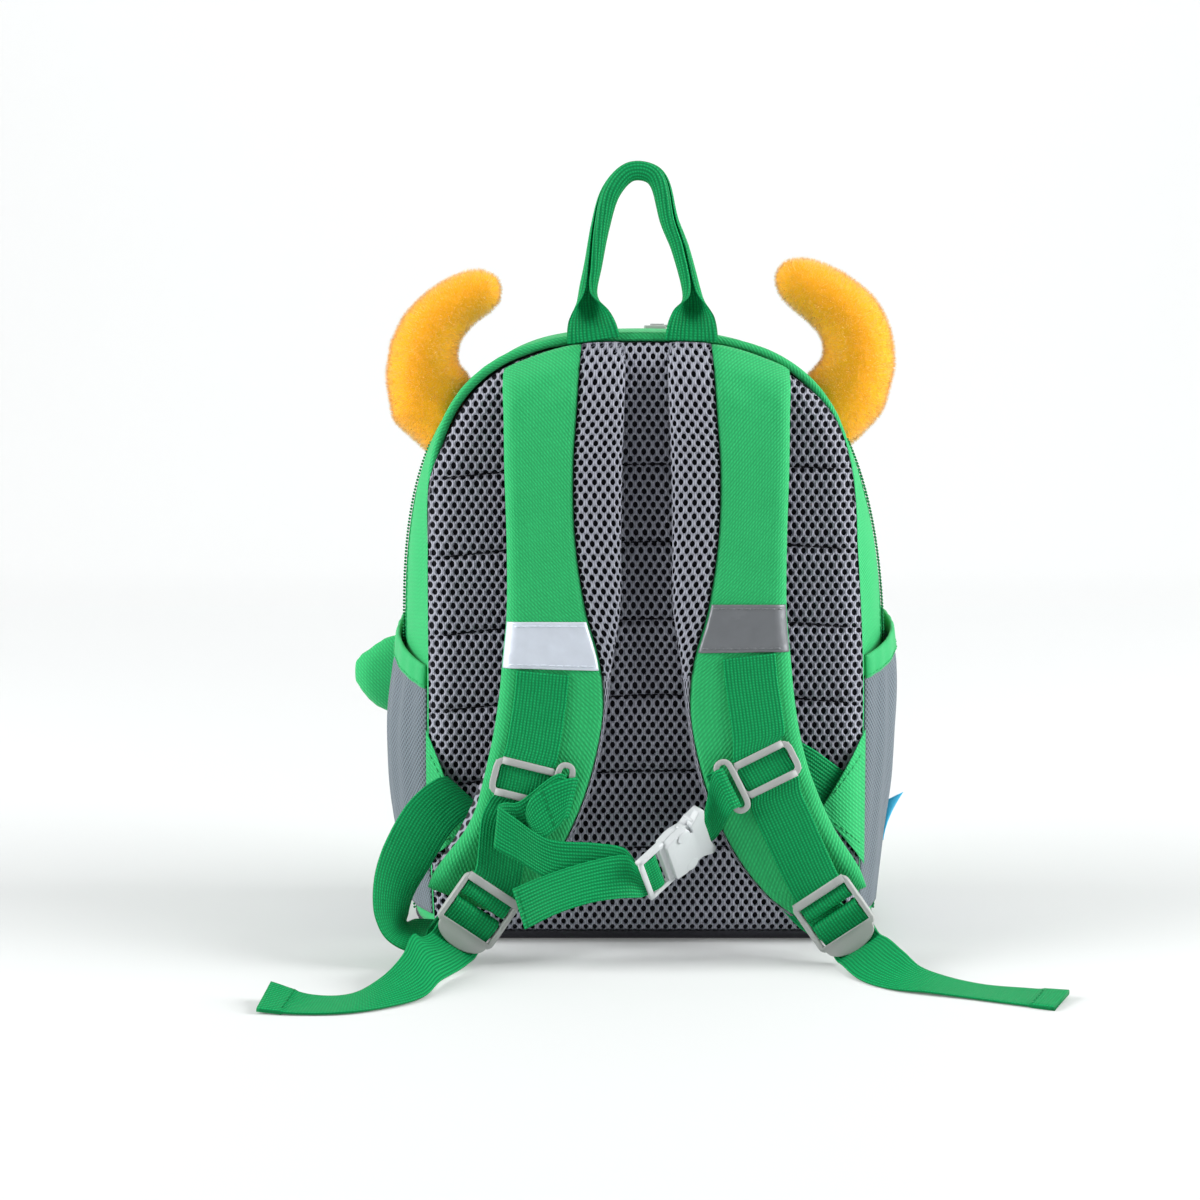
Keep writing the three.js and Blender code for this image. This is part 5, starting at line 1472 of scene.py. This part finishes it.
class BACKPACK_OT_webbing(bpy.types.Operator):
    """Build the webbing on the straps, the adjusters with their tails and the chest strap"""
    bl_idname = "backpack.webbing"
    bl_label = "Webbing"
    bl_options = {"REGISTER", "UNDO"}

    def execute(self, context):
        for name, side in SIDES.items():
            below_tape = TAPE_RUN[name] + TAPE_LENGTH + TAPE_TO_WEB
            self.strip(f"strap_webbing_{name}", self.strap_rows(side, below_tape), WEBBING, "laid",
                       [f"shoulder_strap_{name}"])
            start, tail = (LEFT_START, LEFT_TAIL) if side < 0 else (RIGHT_START, RIGHT_TAIL)
            rows = [*start, *threaded(lock_frame(side), UP_LOCK + DOWN_LOCK), *tail]
            self.strip(f"adjuster_webbing_{name}", rows, WEBBING, "hung",
                       [f"anchor_wing_{name}", f"ladder_lock_{name}"], hems=(TAIL_SEAM,), hem=TAIL_HEM)
        at, u, v, n = buckle_frame()
        chest = (at, -u, v, n)
        left = [*CHEST_TAIL, *threaded(chest, ROUND_PRONG), *CHEST_FOLD,
                *looped(slider_frame(-1), LEFT_LOOP, CHEST_SLIP), *CHEST_FLAP]
        self.strip("chest_webbing_left", left, CHEST_WEBBING, "folded",
                   ["sternum_slider_left", "buckle_prong"], hems=CHEST_SEAMS, round_end=CHEST_ROUND)
        right = [*looped(slider_frame(1), RIGHT_LOOP), *threaded(chest, ROUND_SOCKET)]
        self.strip("chest_webbing_right", right, CHEST_WEBBING, "folded",
                   ["sternum_slider_right", "buckle_socket"])
        return {"FINISHED"}

    def strip(self, name, rows, width, held, rests_on, hems=(), **end):
        """One strip of webbing, sewn across at the hems, which are mm from its start or before its end."""
        rings, run = ribbon(rows, width, **end)
        weft = Weft()
        weft.loft(rings)
        for place in hems:
            row = int(np.argmin(np.abs(run - (place if place > 0 else run[-1] + place))))
            along = rings[min(row + 1, len(rings) - 1), 5] - rings[row, 5]
            for low, high in ((1, 10), (11, 20)):
                line = rings[row, low:high]
                normal = unit(np.cross(rings[row, 0] - rings[row, 10], along))
                normal = normal * np.sign(((line - rings[row].mean(0)) @ normal).mean())
                stitches(weft, line, normal, radius=0.26)
        made = weft.piece(name + "_strip", "webbing", finishes("webbing", "green_thread"), [name])

    def strap_rows(self, side, start):
        """Rows of the webbing down a strap: on its face, through the slider and over the lock's bar."""
        def on_strap(run, lift):
            run = np.array([run], float)
            s = strap_width(side, run)[:, None] * WEBBING_SHARE
            height = column(STRAP, "thick", run)[:, None] / 2 + lift
            return (*strap_point(side, run, s, height)[0, 0], *strap_frame(side, run, WEBBING_SHARE)[1][0])

        slider = slider_frame(side)
        above = [on_strap(start, 1), on_strap(start + 12, 1), on_strap(SLIDER_RUN[side] - SLIDER_REACH, 2)]
        held = [(*put(slider, np.array([0, v, 0.0])), *slider[1]) for v in (SLIDER_HOLD, -SLIDER_HOLD)]
        below = [on_strap(SLIDER_RUN[side] + SLIDER_REACH, 1.7), on_strap(SEWN_TO, 1.6)]
        return [*above, *held, *below, *threaded(lock_frame(side), OVER_LOCK)]


class BACKPACK_OT_handle(bpy.types.Operator):
    """Build the grab handle, webbing folded lengthwise between flat sewn ends"""
    bl_idname = "backpack.handle"
    bl_label = "Grab handle"
    bl_options = {"REGISTER", "UNDO"}

    def execute(self, context):
        last = HANDLE["step"][-1]
        steps = np.linspace(0, last, 220)
        x, z, turn, curl = (column(HANDLE, name, steps) for name in ("x", "z", "turn", "curl"))
        turn, curl = np.radians(turn), np.radians(np.maximum(curl, 0))
        ease = smooth(np.minimum(steps, last - steps) / 2)
        at = np.stack([x, HANDLE_DEPTH + 4 * ease, z], 1)
        along = unit(np.gradient(at, axis=0))
        front = np.array([0, -1.0, 0])
        front = unit(front - along * (along @ front)[:, None])
        flat = np.cross(front, along)
        across = flat * np.cos(turn)[:, None] + front * np.sin(turn)[:, None]
        lift = front * np.cos(turn)[:, None] - flat * np.sin(turn)[:, None]
        share = np.linspace(-1, 1, 41)
        bend = np.maximum(curl, 1e-4)[:, None] * share
        radius = WEBBING / 2 / np.maximum(curl, 1e-4)[:, None]
        a = radius * np.sin(bend) * (1 - (1 - HANDLE_FLAT) * ease[:, None])
        b = radius * (1 - np.cos(bend))
        b = b - b.mean(1, keepdims=True) * ease[:, None]
        line = at[:, None] + across[:, None] * a[..., None] + lift[:, None] * b[..., None]
        side = unit(np.gradient(line, axis=1))
        normal = unit(np.cross(side, np.broadcast_to(along[:, None], side.shape)))
        thick = 0.65 * (1 - np.abs(share) ** 24)[None, :, None]
        rings = np.concatenate([line + normal * thick, (line - normal * thick)[:, ::-1]], 1)
        weft = Weft()
        weft.loft(rings)
        made = weft.piece("grab_handle_strip", "webbing", finishes("webbing"), ["grab_handle"])
        return {"FINISHED"}


class BACKPACK_OT_wings(bpy.types.Operator):
    """Build the sewn triangles at the lower corners"""
    bl_idname = "backpack.wings"
    bl_label = "Corner wings"
    bl_options = {"REGISTER", "UNDO"}

    def execute(self, context):
        turn = circle(40)
        lift, deep = square_off(np.sin(turn), 0.16), square_off(np.cos(turn), 0.5)
        for name, side in SIDES.items():
            table = {"run": [WING[name]["x"][0] - x for x in WING[name]["x"]], **WING[name]}
            run = np.linspace(0, table["run"][-1], 30)
            x, y, low, high = (column(table, key, run) for key in ("x", "y", "low", "high"))
            z = (low + high)[:, None] / 2 + (high - low)[:, None] / 2 * lift
            bulge = 0.35 * ripple(x[:, None] + 0 * z, z, 61, 16)
            depth = y[:, None] - 1.0 - deep * 0.95 - np.where(deep > 0, bulge, 0)
            rings = np.stack([side * x[:, None] + 0 * z, depth, z], -1)
            weft = Weft()
            weft.loft(rings, cloth=np.concatenate([rings, rings[:, :1]], 1)[..., [0, 2]])
            for edge in (-0.74, 0.74):
                at = (low + high) / 2 + (high - low) / 2 * edge
                line = np.stack([side * x, y - 2.0 - 0.35 * ripple(x, at, 61, 16), at], 1)[3:-5]
                stitches(weft, line, (0, -1, 0), radius=0.36)
            made = weft.piece(f"anchor_wing_{name}_cloth", "twill", finishes("twill", "green_thread"),
                              [f"anchor_wing_{name}"])
        return {"FINISHED"}


# Moulded fittings, in the frame of each fitting.
def rounded(corners, radius, fine=6):
    """A closed outline whose corners are rounded."""
    corners = np.asarray(corners, float)
    before, after = np.roll(corners, 1, 0), np.roll(corners, -1, 0)
    t = np.linspace(0, 1, fine)[:, None]
    parts = []
    for a, b, c in zip(before, corners, after):
        ra = min(radius, np.linalg.norm(a - b) * 0.48)
        rc = min(radius, np.linalg.norm(c - b) * 0.48)
        start, end = b + unit(a - b) * ra, b + unit(c - b) * rc
        parts.append((1 - t) ** 2 * start + 2 * t * (1 - t) * b + t**2 * end)
    return np.concatenate(parts)


def box_outline(low_u, low_v, high_u, high_v, radius):
    """A box with rounded corners."""
    return rounded([(low_u, low_v), (high_u, low_v), (high_u, high_v), (low_u, high_v)], radius)


def plate(weft, here, shape, low, high, bevel):
    """A moulded plate of that outline with rounded edges."""
    along = unit(np.roll(shape, -1, 0) - np.roll(shape, 1, 0))
    turn = np.sum(np.roll(shape, -1, 0)[:, 1] * shape[:, 0] - np.roll(shape, -1, 0)[:, 0] * shape[:, 1])
    inward = np.stack([-along[:, 1], along[:, 0]], 1) * np.sign(turn)
    rows = [(1, 0), (0.5, 0.13), (0.13, 0.5), (0, 1)]
    levels = [(i * bevel, low + z * bevel) for i, z in rows]
    levels += [(i * bevel, high - z * bevel) for i, z in rows[::-1]]
    rings = np.stack([flat_path(shape + inward * inset, z) for inset, z in levels])
    weft.loft(put(here, rings))


def bar(weft, here, path, half_wide, half_deep, closed):
    """A moulded bar of soft square section along a path given as u, v, n."""
    path = np.asarray(path, float)
    if not closed:
        path = path[0] + (path[-1] - path[0]) * np.linspace(0, 1, 6)[:, None]
    along = unit(np.roll(path, -1, 0) - np.roll(path, 1, 0)) if closed else unit(np.gradient(path, axis=0))
    side = unit(np.cross(along, [0, 0, 1.0]))
    turn = circle(16)
    a, b = square_off(np.cos(turn), 0.6) * half_wide, square_off(np.sin(turn), 0.6) * half_deep
    rings = path[:, None] + side[:, None] * a[:, None] + np.cross(side, along)[:, None] * b[:, None]
    if closed:
        weft.grid(put(here, np.concatenate([rings, rings[:1]])), True)
    else:
        weft.loft(put(here, rings))


def flat_path(shape, n):
    """An outline as a path at one depth of the fitting."""
    return np.column_stack([shape, np.full(len(shape), n)])


class BACKPACK_OT_sliders(bpy.types.Operator):
    """Build the chest strap sliders on the shoulder straps"""
    bl_idname = "backpack.sliders"
    bl_label = "Chest strap sliders"
    bl_options = {"REGISTER", "UNDO"}

    def execute(self, context):
        middle = (SLIDER_HALF + SLIDER_OUTER) / 2
        loop = CHEST_WEBBING / 2 + 2.3
        for name, side in SIDES.items():
            here = slider_frame(side)
            weft = Weft()
            bar(weft, here, flat_path(box_outline(-middle, -7.5, middle, 7.5, 4), 1.8), 1.5, 0.95, True)
            for v in (-7.5, 7.5):
                bar(weft, here, [(-middle + 2, v, 1.9), (middle - 2, v, 1.9)], 1.75, 1.0, False)
            for u in (-middle, middle):
                bar(weft, here, [(u, -7, 0.2), (u, 7, 0.2)], 1.0, 2.1, False)
            bar(weft, here, [(-middle, 0, -1.5), (middle, 0, -1.5)], 1.5, 0.55, False)
            shape = box_outline(LOOP_BAR, -loop, -SLIDER_OUTER + 1, loop, 4.5)
            bar(weft, here, flat_path(shape, LOOP_LIFT), 1.4, 1.25, True)
            weft.piece(f"sternum_slider_{name}_frame", "grey_plastic", finishes("grey"),
                       [f"sternum_slider_{name}"])
        return {"FINISHED"}


class BACKPACK_OT_locks(bpy.types.Operator):
    """Build the ladder locks with their D-shaped tongues"""
    bl_idname = "backpack.locks"
    bl_label = "Ladder locks"
    bl_options = {"REGISTER", "UNDO"}

    def execute(self, context):
        outer = WEBBING / 2 + 3.1
        for name, side in SIDES.items():
            here = lock_frame(side)
            weft = Weft()
            rim = box_outline(-outer + 1.2, -12, outer - 1.2, 12.4, 2.6)
            bar(weft, here, flat_path(rim, 0.2), 1.3, 1.7, True)
            bar(weft, here, [(-outer + 1.5, 12, 1.1), (outer - 1.5, 12, 1.1)], 2.0, 0.95, False)
            bar(weft, here, [(-outer + 1, 5.7, -1.3), (outer - 1, 5.7, -1.3)], 1.1, 0.7, False)
            bar(weft, here, [(-outer + 1, -2.95, -1.45), (outer - 1, -2.95, -1.45)], 0.95, 0.55, False)
            turn = np.linspace(0, -np.pi, 26)
            round_end = np.stack([(outer - 2.2) * np.cos(turn), -12.6 + 7.4 * np.sin(turn)], 1)
            shape = np.concatenate([[(-outer + 0.4, -10.2), (outer - 0.4, -10.2)], round_end])
            plate(weft, here, shape, 0.2, 2.0, 0.7)
            weft.piece(f"ladder_lock_{name}_frame", "grey_plastic", finishes("grey"),
                       [f"ladder_lock_{name}"])
        return {"FINISHED"}


def both_sides(half):
    """An outline from its right half."""
    return [*half, *[(-u, v) for u, v in half[::-1]]]


class BACKPACK_OT_buckle(bpy.types.Operator):
    """Build the fastened side-release buckle"""
    bl_idname = "backpack.buckle"
    bl_label = "Chest buckle"
    bl_options = {"REGISTER", "UNDO"}

    def execute(self, context):
        here = buckle_frame()
        self.socket(here)
        self.prong(here)
        return {"FINISHED"}

    def socket(self, here):
        """The shell: a lower half, an upper half with a slit, two press tabs and the bar for the webbing."""
        socket = Weft()
        whole = [(11.2, -5.6), (12.2, 0.5), (12, 4), (10.2, 9.5), (11.6, 13.5), (12, 15)]
        low_side = [(11.2, -5.6), (12.4, 0.5), (12.2, 4), (11.2, 9), (11.4, 12),
                    (15, 18), (13.4, 20.8), (7, 18.8)]
        slit_side = [(11.2, -5.6), (12.4, 0.5), (12.4, 4), (11.9, 8.4), (7.2, 9.5), (6.9, 10.7), (11.0, 11.3),
                     (12.4, 14), (15, 18), (13.4, 20.8), (7, 18.8)]
        front = [*low_side, *[(-u, v) for u, v in slit_side[::-1]]]
        plate(socket, here, rounded(both_sides(whole), 1.4), -4.2, 0.4, 0.9)
        plate(socket, here, rounded(front, 1.2), 0.2, 4.2, 0.5)
        turn = circle(32)
        for u, top in ((-9.4, 4.9), (10, 4.3)):
            tab = np.stack([u + 3.0 * np.cos(turn), 5 + 4.0 * np.sin(turn)], 1)
            plate(socket, here, tab, 3.4, top, 0.6)
        for u in (-11.3, 11.3):
            bar(socket, here, [(u, 12.6, 0), (u * 1.04, 20.6, 0)], 1.1, 3.4, False)
        bar(socket, here, [(-11.4, 19.9, -0.4), (11.4, 19.9, -0.4)], 1.2, 0.85, False)
        socket.piece("buckle_socket_shell", "pale_plastic", finishes("pale"), ["buckle_socket"])

    def prong(self, here):
        """The fork in the socket: a body, two sprung arms, a tongue and the bars for the webbing."""
        prong = Weft()
        plate(prong, here, rounded(both_sides([(11.6, -8.4), (10.6, 0.5)]), 1.2), -1.8, 1.8, 0.7)
        arm = [(5.6, 0), (9.2, 0), (9.4, 5.4), (12.0, 6.3), (11.8, 9), (9, 12), (6.6, 12), (6.6, 4)]
        plate(prong, here, rounded(arm, 0.9), -1.8, 1.8, 0.6)
        plate(prong, here, rounded([(-u, v) for u, v in arm], 0.9), -1.8, 1.8, 0.6)
        plate(prong, here, rounded(both_sides([(2, 0), (1.4, 11)]), 0.6), -1.6, 1.6, 0.5)
        for u in (-11.8, 11.8):
            bar(prong, here, [(u, -20.6, 0), (u, -5, 0)], 1.4, 1.75, False)
        bar(prong, here, [(-11.8, -19.9, 1.1), (11.8, -19.9, 1.1)], 1.4, 0.75, False)
        bar(prong, here, [(-11.8, -13.1, -0.65), (11.8, -13.1, -0.65)], 1.05, 0.8, False)
        prong.piece("buckle_prong_body", "pale_plastic", finishes("pale"), ["buckle_prong"])


# Stuffed trims.
def stuffed(node_name, name, voxel, most, swell=0.0):
    """Copies a CAD trim, evens its mesh and lets the stuffing swell it, by at most so many mm.
    The skin may then be moved out by an even swell."""
    scene = bpy.context.scene
    made = bpy.data.objects.new(name, frame["nodes"][node_name].data.copy())
    scene.collection.objects.link(made)
    even = made.modifiers.new("Even", "REMESH")
    even.mode, even.voxel_size = "VOXEL", voxel * MM
    soften = made.modifiers.new("Soften", "SMOOTH")
    soften.factor, soften.iterations = 0.5, 6
    settle(made)
    rest = vertex_array(made)
    cloth = made.modifiers.new("Swell", "CLOTH")
    cloth.settings.use_pressure = True
    cloth.settings.uniform_pressure_force = 4
    cloth.settings.effector_weights.gravity = 0
    for step in range(1, 21):
        scene.frame_set(step)
    settle(made)
    scene.frame_set(1)
    moved = vertex_array(made) - rest
    size = np.linalg.norm(moved, axis=1, keepdims=True)
    capped = rest + moved * np.minimum(1, most * MM / np.maximum(size, 1e-9))
    made.data.vertices.foreach_set("co", capped.ravel())
    made.modifiers.new("Round", "SUBSURF").levels = 1
    settle(made)
    if swell:
        grown = vertex_array(made) + vectors_of(made.data.vertices, "normal") * swell * MM
        made.data.vertices.foreach_set("co", grown.ravel())
    made.data.polygons.foreach_set("use_smooth", np.ones(len(made.data.polygons), bool))
    return made


def settle(made):
    """Applies a piece's modifiers to its mesh."""
    ready = made.evaluated_get(bpy.context.evaluated_depsgraph_get())
    mesh = bpy.data.meshes.new_from_object(ready)
    made.modifiers.clear()
    made.data = mesh


class BACKPACK_OT_horns(bpy.types.Operator):
    """Build the stuffed plush horns with their short pile"""
    bl_idname = "backpack.horns"
    bl_label = "Plush horns"
    bl_options = {"REGISTER", "UNDO"}

    def execute(self, context):
        for name in SIDES:
            made = stuffed(f"horn_{name}", f"horn_{name}_ground", 3.0, 1.0, swell=HORN_SWELL)
            self.seat(made, name)
            dress(made, finishes("plush_ground"), [f"horn_{name}"])
            self.pile(made, name, context.scene.backpack_sizes.fibre_count)
        return {"FINISHED"}

    def seat(self, made, name):
        """Moves a horn to its place and draws its root in to the gusset."""
        side = SIDES[name]
        at = vertex_array(made) / MM + HORN_MOVE[name]
        away = side * (at[:, 0] - lean(at[:, 2])) - half_width(at[:, 1], at[:, 2])
        near = smooth((26 - away) / 20)[:, None]
        at = at + near * HORN_ROOT[name]
        made.data.vertices.foreach_set("co", (at * MM).ravel())
        made.data.update()

    def pile(self, made, name, fibres):
        """Fibres over the horn's skin wherever it clears the bag, each leaning its own way."""
        dice = np.random.default_rng(71)
        mesh = made.data
        mesh.calc_loop_triangles()
        corners = np.zeros(len(mesh.loop_triangles) * 3, np.int32)
        mesh.loop_triangles.foreach_get("vertices", corners)
        corners = corners.reshape(-1, 3)
        points = vertex_array(made) / MM
        normals = vectors_of(mesh.vertices, "normal")
        a, b, c = (points[corners[:, k]] for k in range(3))
        area = np.linalg.norm(np.cross(b - a, c - a), axis=1)
        pick = dice.choice(len(area), fibres, p=area / area.sum())
        w = dice.dirichlet((1, 1, 1), fibres)
        root = (points[corners[pick]] * w[..., None]).sum(1)
        up = unit((normals[corners[pick]] * w[..., None]).sum(1))
        clear = np.abs(root[:, 0] - lean(root[:, 2])) > half_width(root[:, 1], root[:, 2]) + 0.6
        clear |= root[:, 2] > column(BODY, "height", root[:, 1]) + 1
        root, up = root[clear], up[clear]
        count = len(root)
        slant = unit(dice.normal(size=(count, 3)))
        slant = slant - up * (slant * up).sum(1, keepdims=True)
        tall = in_mm("fibre") * dice.uniform(0.6, 1.15, (count, 1))
        tip = root + up * tall * 0.86 + slant * tall * dice.uniform(0.1, 0.75, (count, 1))
        side = unit(np.cross(up, dice.normal(size=(count, 3)))) * 0.1
        weft = Weft()
        triangles = np.stack([root - up * 0.3 - side, root - up * 0.3 + side, tip], 1)
        tone = dice.uniform(0, 1, (count, 1))
        # The cloth's second coordinate runs from root to tip and drives the painted pale tips.
        root_cloth, tip_cloth = (np.column_stack([tone, low + tone * 0.35]) for low in (0, 0.65))
        cloth = np.stack([root_cloth, root_cloth, tip_cloth], 1)
        weft.add(triangles, np.arange(count * 3).reshape(-1, 3), cloth)
        weft.size = count * 3
        fur = weft.piece(f"horn_{name}_pile", "plush", finishes("plush"), tidy=False)
        fur.visible_shadow = False
        soft = unit(np.repeat(up + slant * 0.25, 3, 0))
        fur.data.normals_split_custom_set(soft.tolist())


class BACKPACK_OT_fin(bpy.types.Operator):
    """Build the stuffed green lobe on the front"""
    bl_idname = "backpack.fin"
    bl_label = "Stuffed lobe"
    bl_options = {"REGISTER", "UNDO"}

    def execute(self, context):
        made = stuffed("front_fin", "front_fin_stuffed", 4.0, 2.5)
        points = vertex_array(made) / MM
        loops = np.zeros(len(made.data.loops), np.int32)
        made.data.loops.foreach_get("vertex_index", loops)
        layer = made.data.uv_layers.get("Cloth") or made.data.uv_layers.new(name="Cloth")
        layer.data.foreach_set("uv", points[loops][:, [0, 2]].astype(np.float32).ravel())
        dress(made, finishes("twill"), ["front_fin"])
        return {"FINISHED"}


class BACKPACK_OT_stage(bpy.types.Operator):
    """Set the pale floor, the soft light and the camera"""
    bl_idname = "backpack.stage"
    bl_label = "Stage, light and camera"
    bl_options = {"REGISTER", "UNDO"}

    def execute(self, context):
        self.backdrop(context.scene)
        self.lights(context.scene)
        self.camera(context.scene)
        return {"FINISHED"}

    def backdrop(self, scene):
        """Paper that lies on the floor and sweeps up behind the bag."""
        turn = np.linspace(0, np.pi / 2, 16)
        sweep = np.stack([PAPER_BACK + PAPER_ROUND * np.sin(turn), PAPER_ROUND * (1 - np.cos(turn))], 1)
        profile = np.concatenate([[(PAPER_FRONT, 0), (0.2, 0), (0.9, 0)], sweep,
                                  [(PAPER_BACK + PAPER_ROUND, PAPER_TOP)]])
        points = [(x, y, z) for y, z in profile for x in (-PAPER_HALF, PAPER_HALF)]
        mesh = bpy.data.meshes.new("studio_floor")
        faces = [(i, i + 1, i + 3, i + 2) for i in range(0, 2 * len(profile) - 2, 2)]
        mesh.from_pydata(points, [], faces)
        mesh.polygons.foreach_set("use_smooth", np.ones(len(mesh.polygons), bool))
        # Backdrop paper, lit from behind where it rises: an even pale ground that takes a soft shadow.
        paper, tree, shader = surface("Backdrop paper, lit from behind", linear("#CACCCC"), 0.9,
                                      Specular_IOR_Level=0.05, Emission_Color=(1, 1, 1, 1))
        place = node(tree, "SeparateXYZ", {"Vector": node(tree, "TexCoord").outputs["Object"]})
        glow = node(tree, "MapRange", {"Value": place.outputs["Y"], "From Min": 0.1, "From Max": 1.7,
                                       "To Min": 0.11, "To Max": 0.46})
        tree.links.new(glow.outputs["Result"], shader.inputs["Emission Strength"])
        mesh.materials.append(paper)
        floor = bpy.data.objects.new("studio_floor", mesh)
        scene.collection.objects.link(floor)
        floor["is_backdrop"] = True

    def lights(self, scene):
        """Soft boxes round the bag in a dim even room."""
        for name, (at, aim, size, power) in LAMPS.items():
            lamp = bpy.data.lights.new(name, "AREA")
            lamp.shape, lamp.size, lamp.energy = "SQUARE", size, power
            holder = bpy.data.objects.new(name, lamp)
            scene.collection.objects.link(holder)
            holder.location = at
            away = Vector(at) - Vector(aim)
            holder.rotation_euler = away.to_track_quat("Z", "Y").to_euler()
        world = bpy.data.worlds.new("Soft room")
        scene.world = world
        world.use_nodes = True
        world.node_tree.nodes["Background"].inputs["Color"].default_value = (1, 1, 1, 1)
        world.node_tree.nodes["Background"].inputs["Strength"].default_value = ROOM_LIGHT

    def camera(self, scene):
        """The photograph's view."""
        lens = bpy.data.cameras.new("photo_camera")
        lens.lens, lens.sensor_width = CAMERA_LENS, CAMERA_SENSOR
        camera = bpy.data.objects.new("photo_camera", lens)
        scene.collection.objects.link(camera)
        camera.location = CAMERA_AT
        camera.rotation_euler = (math.radians(CAMERA_TILT), 0, 0)
        scene.camera = camera
        scene.view_settings.view_transform = "Standard"


OPERATORS = (
    BACKPACK_OT_back_panel, BACKPACK_OT_body, BACKPACK_OT_zip, BACKPACK_OT_base, BACKPACK_OT_pockets,
    BACKPACK_OT_straps, BACKPACK_OT_tapes, BACKPACK_OT_webbing, BACKPACK_OT_handle, BACKPACK_OT_wings,
    BACKPACK_OT_sliders, BACKPACK_OT_locks, BACKPACK_OT_buckle, BACKPACK_OT_horns, BACKPACK_OT_fin,
    BACKPACK_OT_stage,
)


class BACKPACK_PT_panel(bpy.types.Panel):
    """Colours, sizes and build buttons of the backpack"""
    bl_idname = "BACKPACK_PT_panel"
    bl_label = "Backpack"
    bl_space_type = "VIEW_3D"
    bl_region_type = "UI"
    bl_category = "Backpack"

    def draw(self, context):
        for group in (context.scene.backpack_colours, context.scene.backpack_sizes):
            for name in group.__annotations__:
                self.layout.prop(group, name)
        for operator in OPERATORS:
            self.layout.operator(operator.bl_idname)


CLASSES = (BackpackColours, BackpackSizes, *OPERATORS, BACKPACK_PT_panel)


def register():
    for made in CLASSES:
        bpy.utils.register_class(made)
    bpy.types.Scene.backpack_colours = bpy.props.PointerProperty(type=BackpackColours)
    bpy.types.Scene.backpack_sizes = bpy.props.PointerProperty(type=BackpackSizes)


def unregister():
    del bpy.types.Scene.backpack_sizes
    del bpy.types.Scene.backpack_colours
    for made in reversed(CLASSES):
        bpy.utils.unregister_class(made)


def visual_box():
    """Lowest and highest corner of every piece that shows."""
    low, high = np.full(3, np.inf), np.full(3, -np.inf)
    for piece in bpy.data.objects:
        if piece.type == "MESH" and not piece.hide_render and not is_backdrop(piece):
            at = vertex_array(piece)
            low, high = np.minimum(low, at.min(0)), np.maximum(high, at.max(0))
    return [low.tolist(), high.tolist()]


def main():
    cad = [list(map(float, corner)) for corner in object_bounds()]
    register()
    for operator in OPERATORS:
        group, name = operator.bl_idname.split(".")
        getattr(getattr(bpy.ops, group), name)()
    {"cad": cad, "visual": visual_box()}


if __name__ == "__main__":
    main()
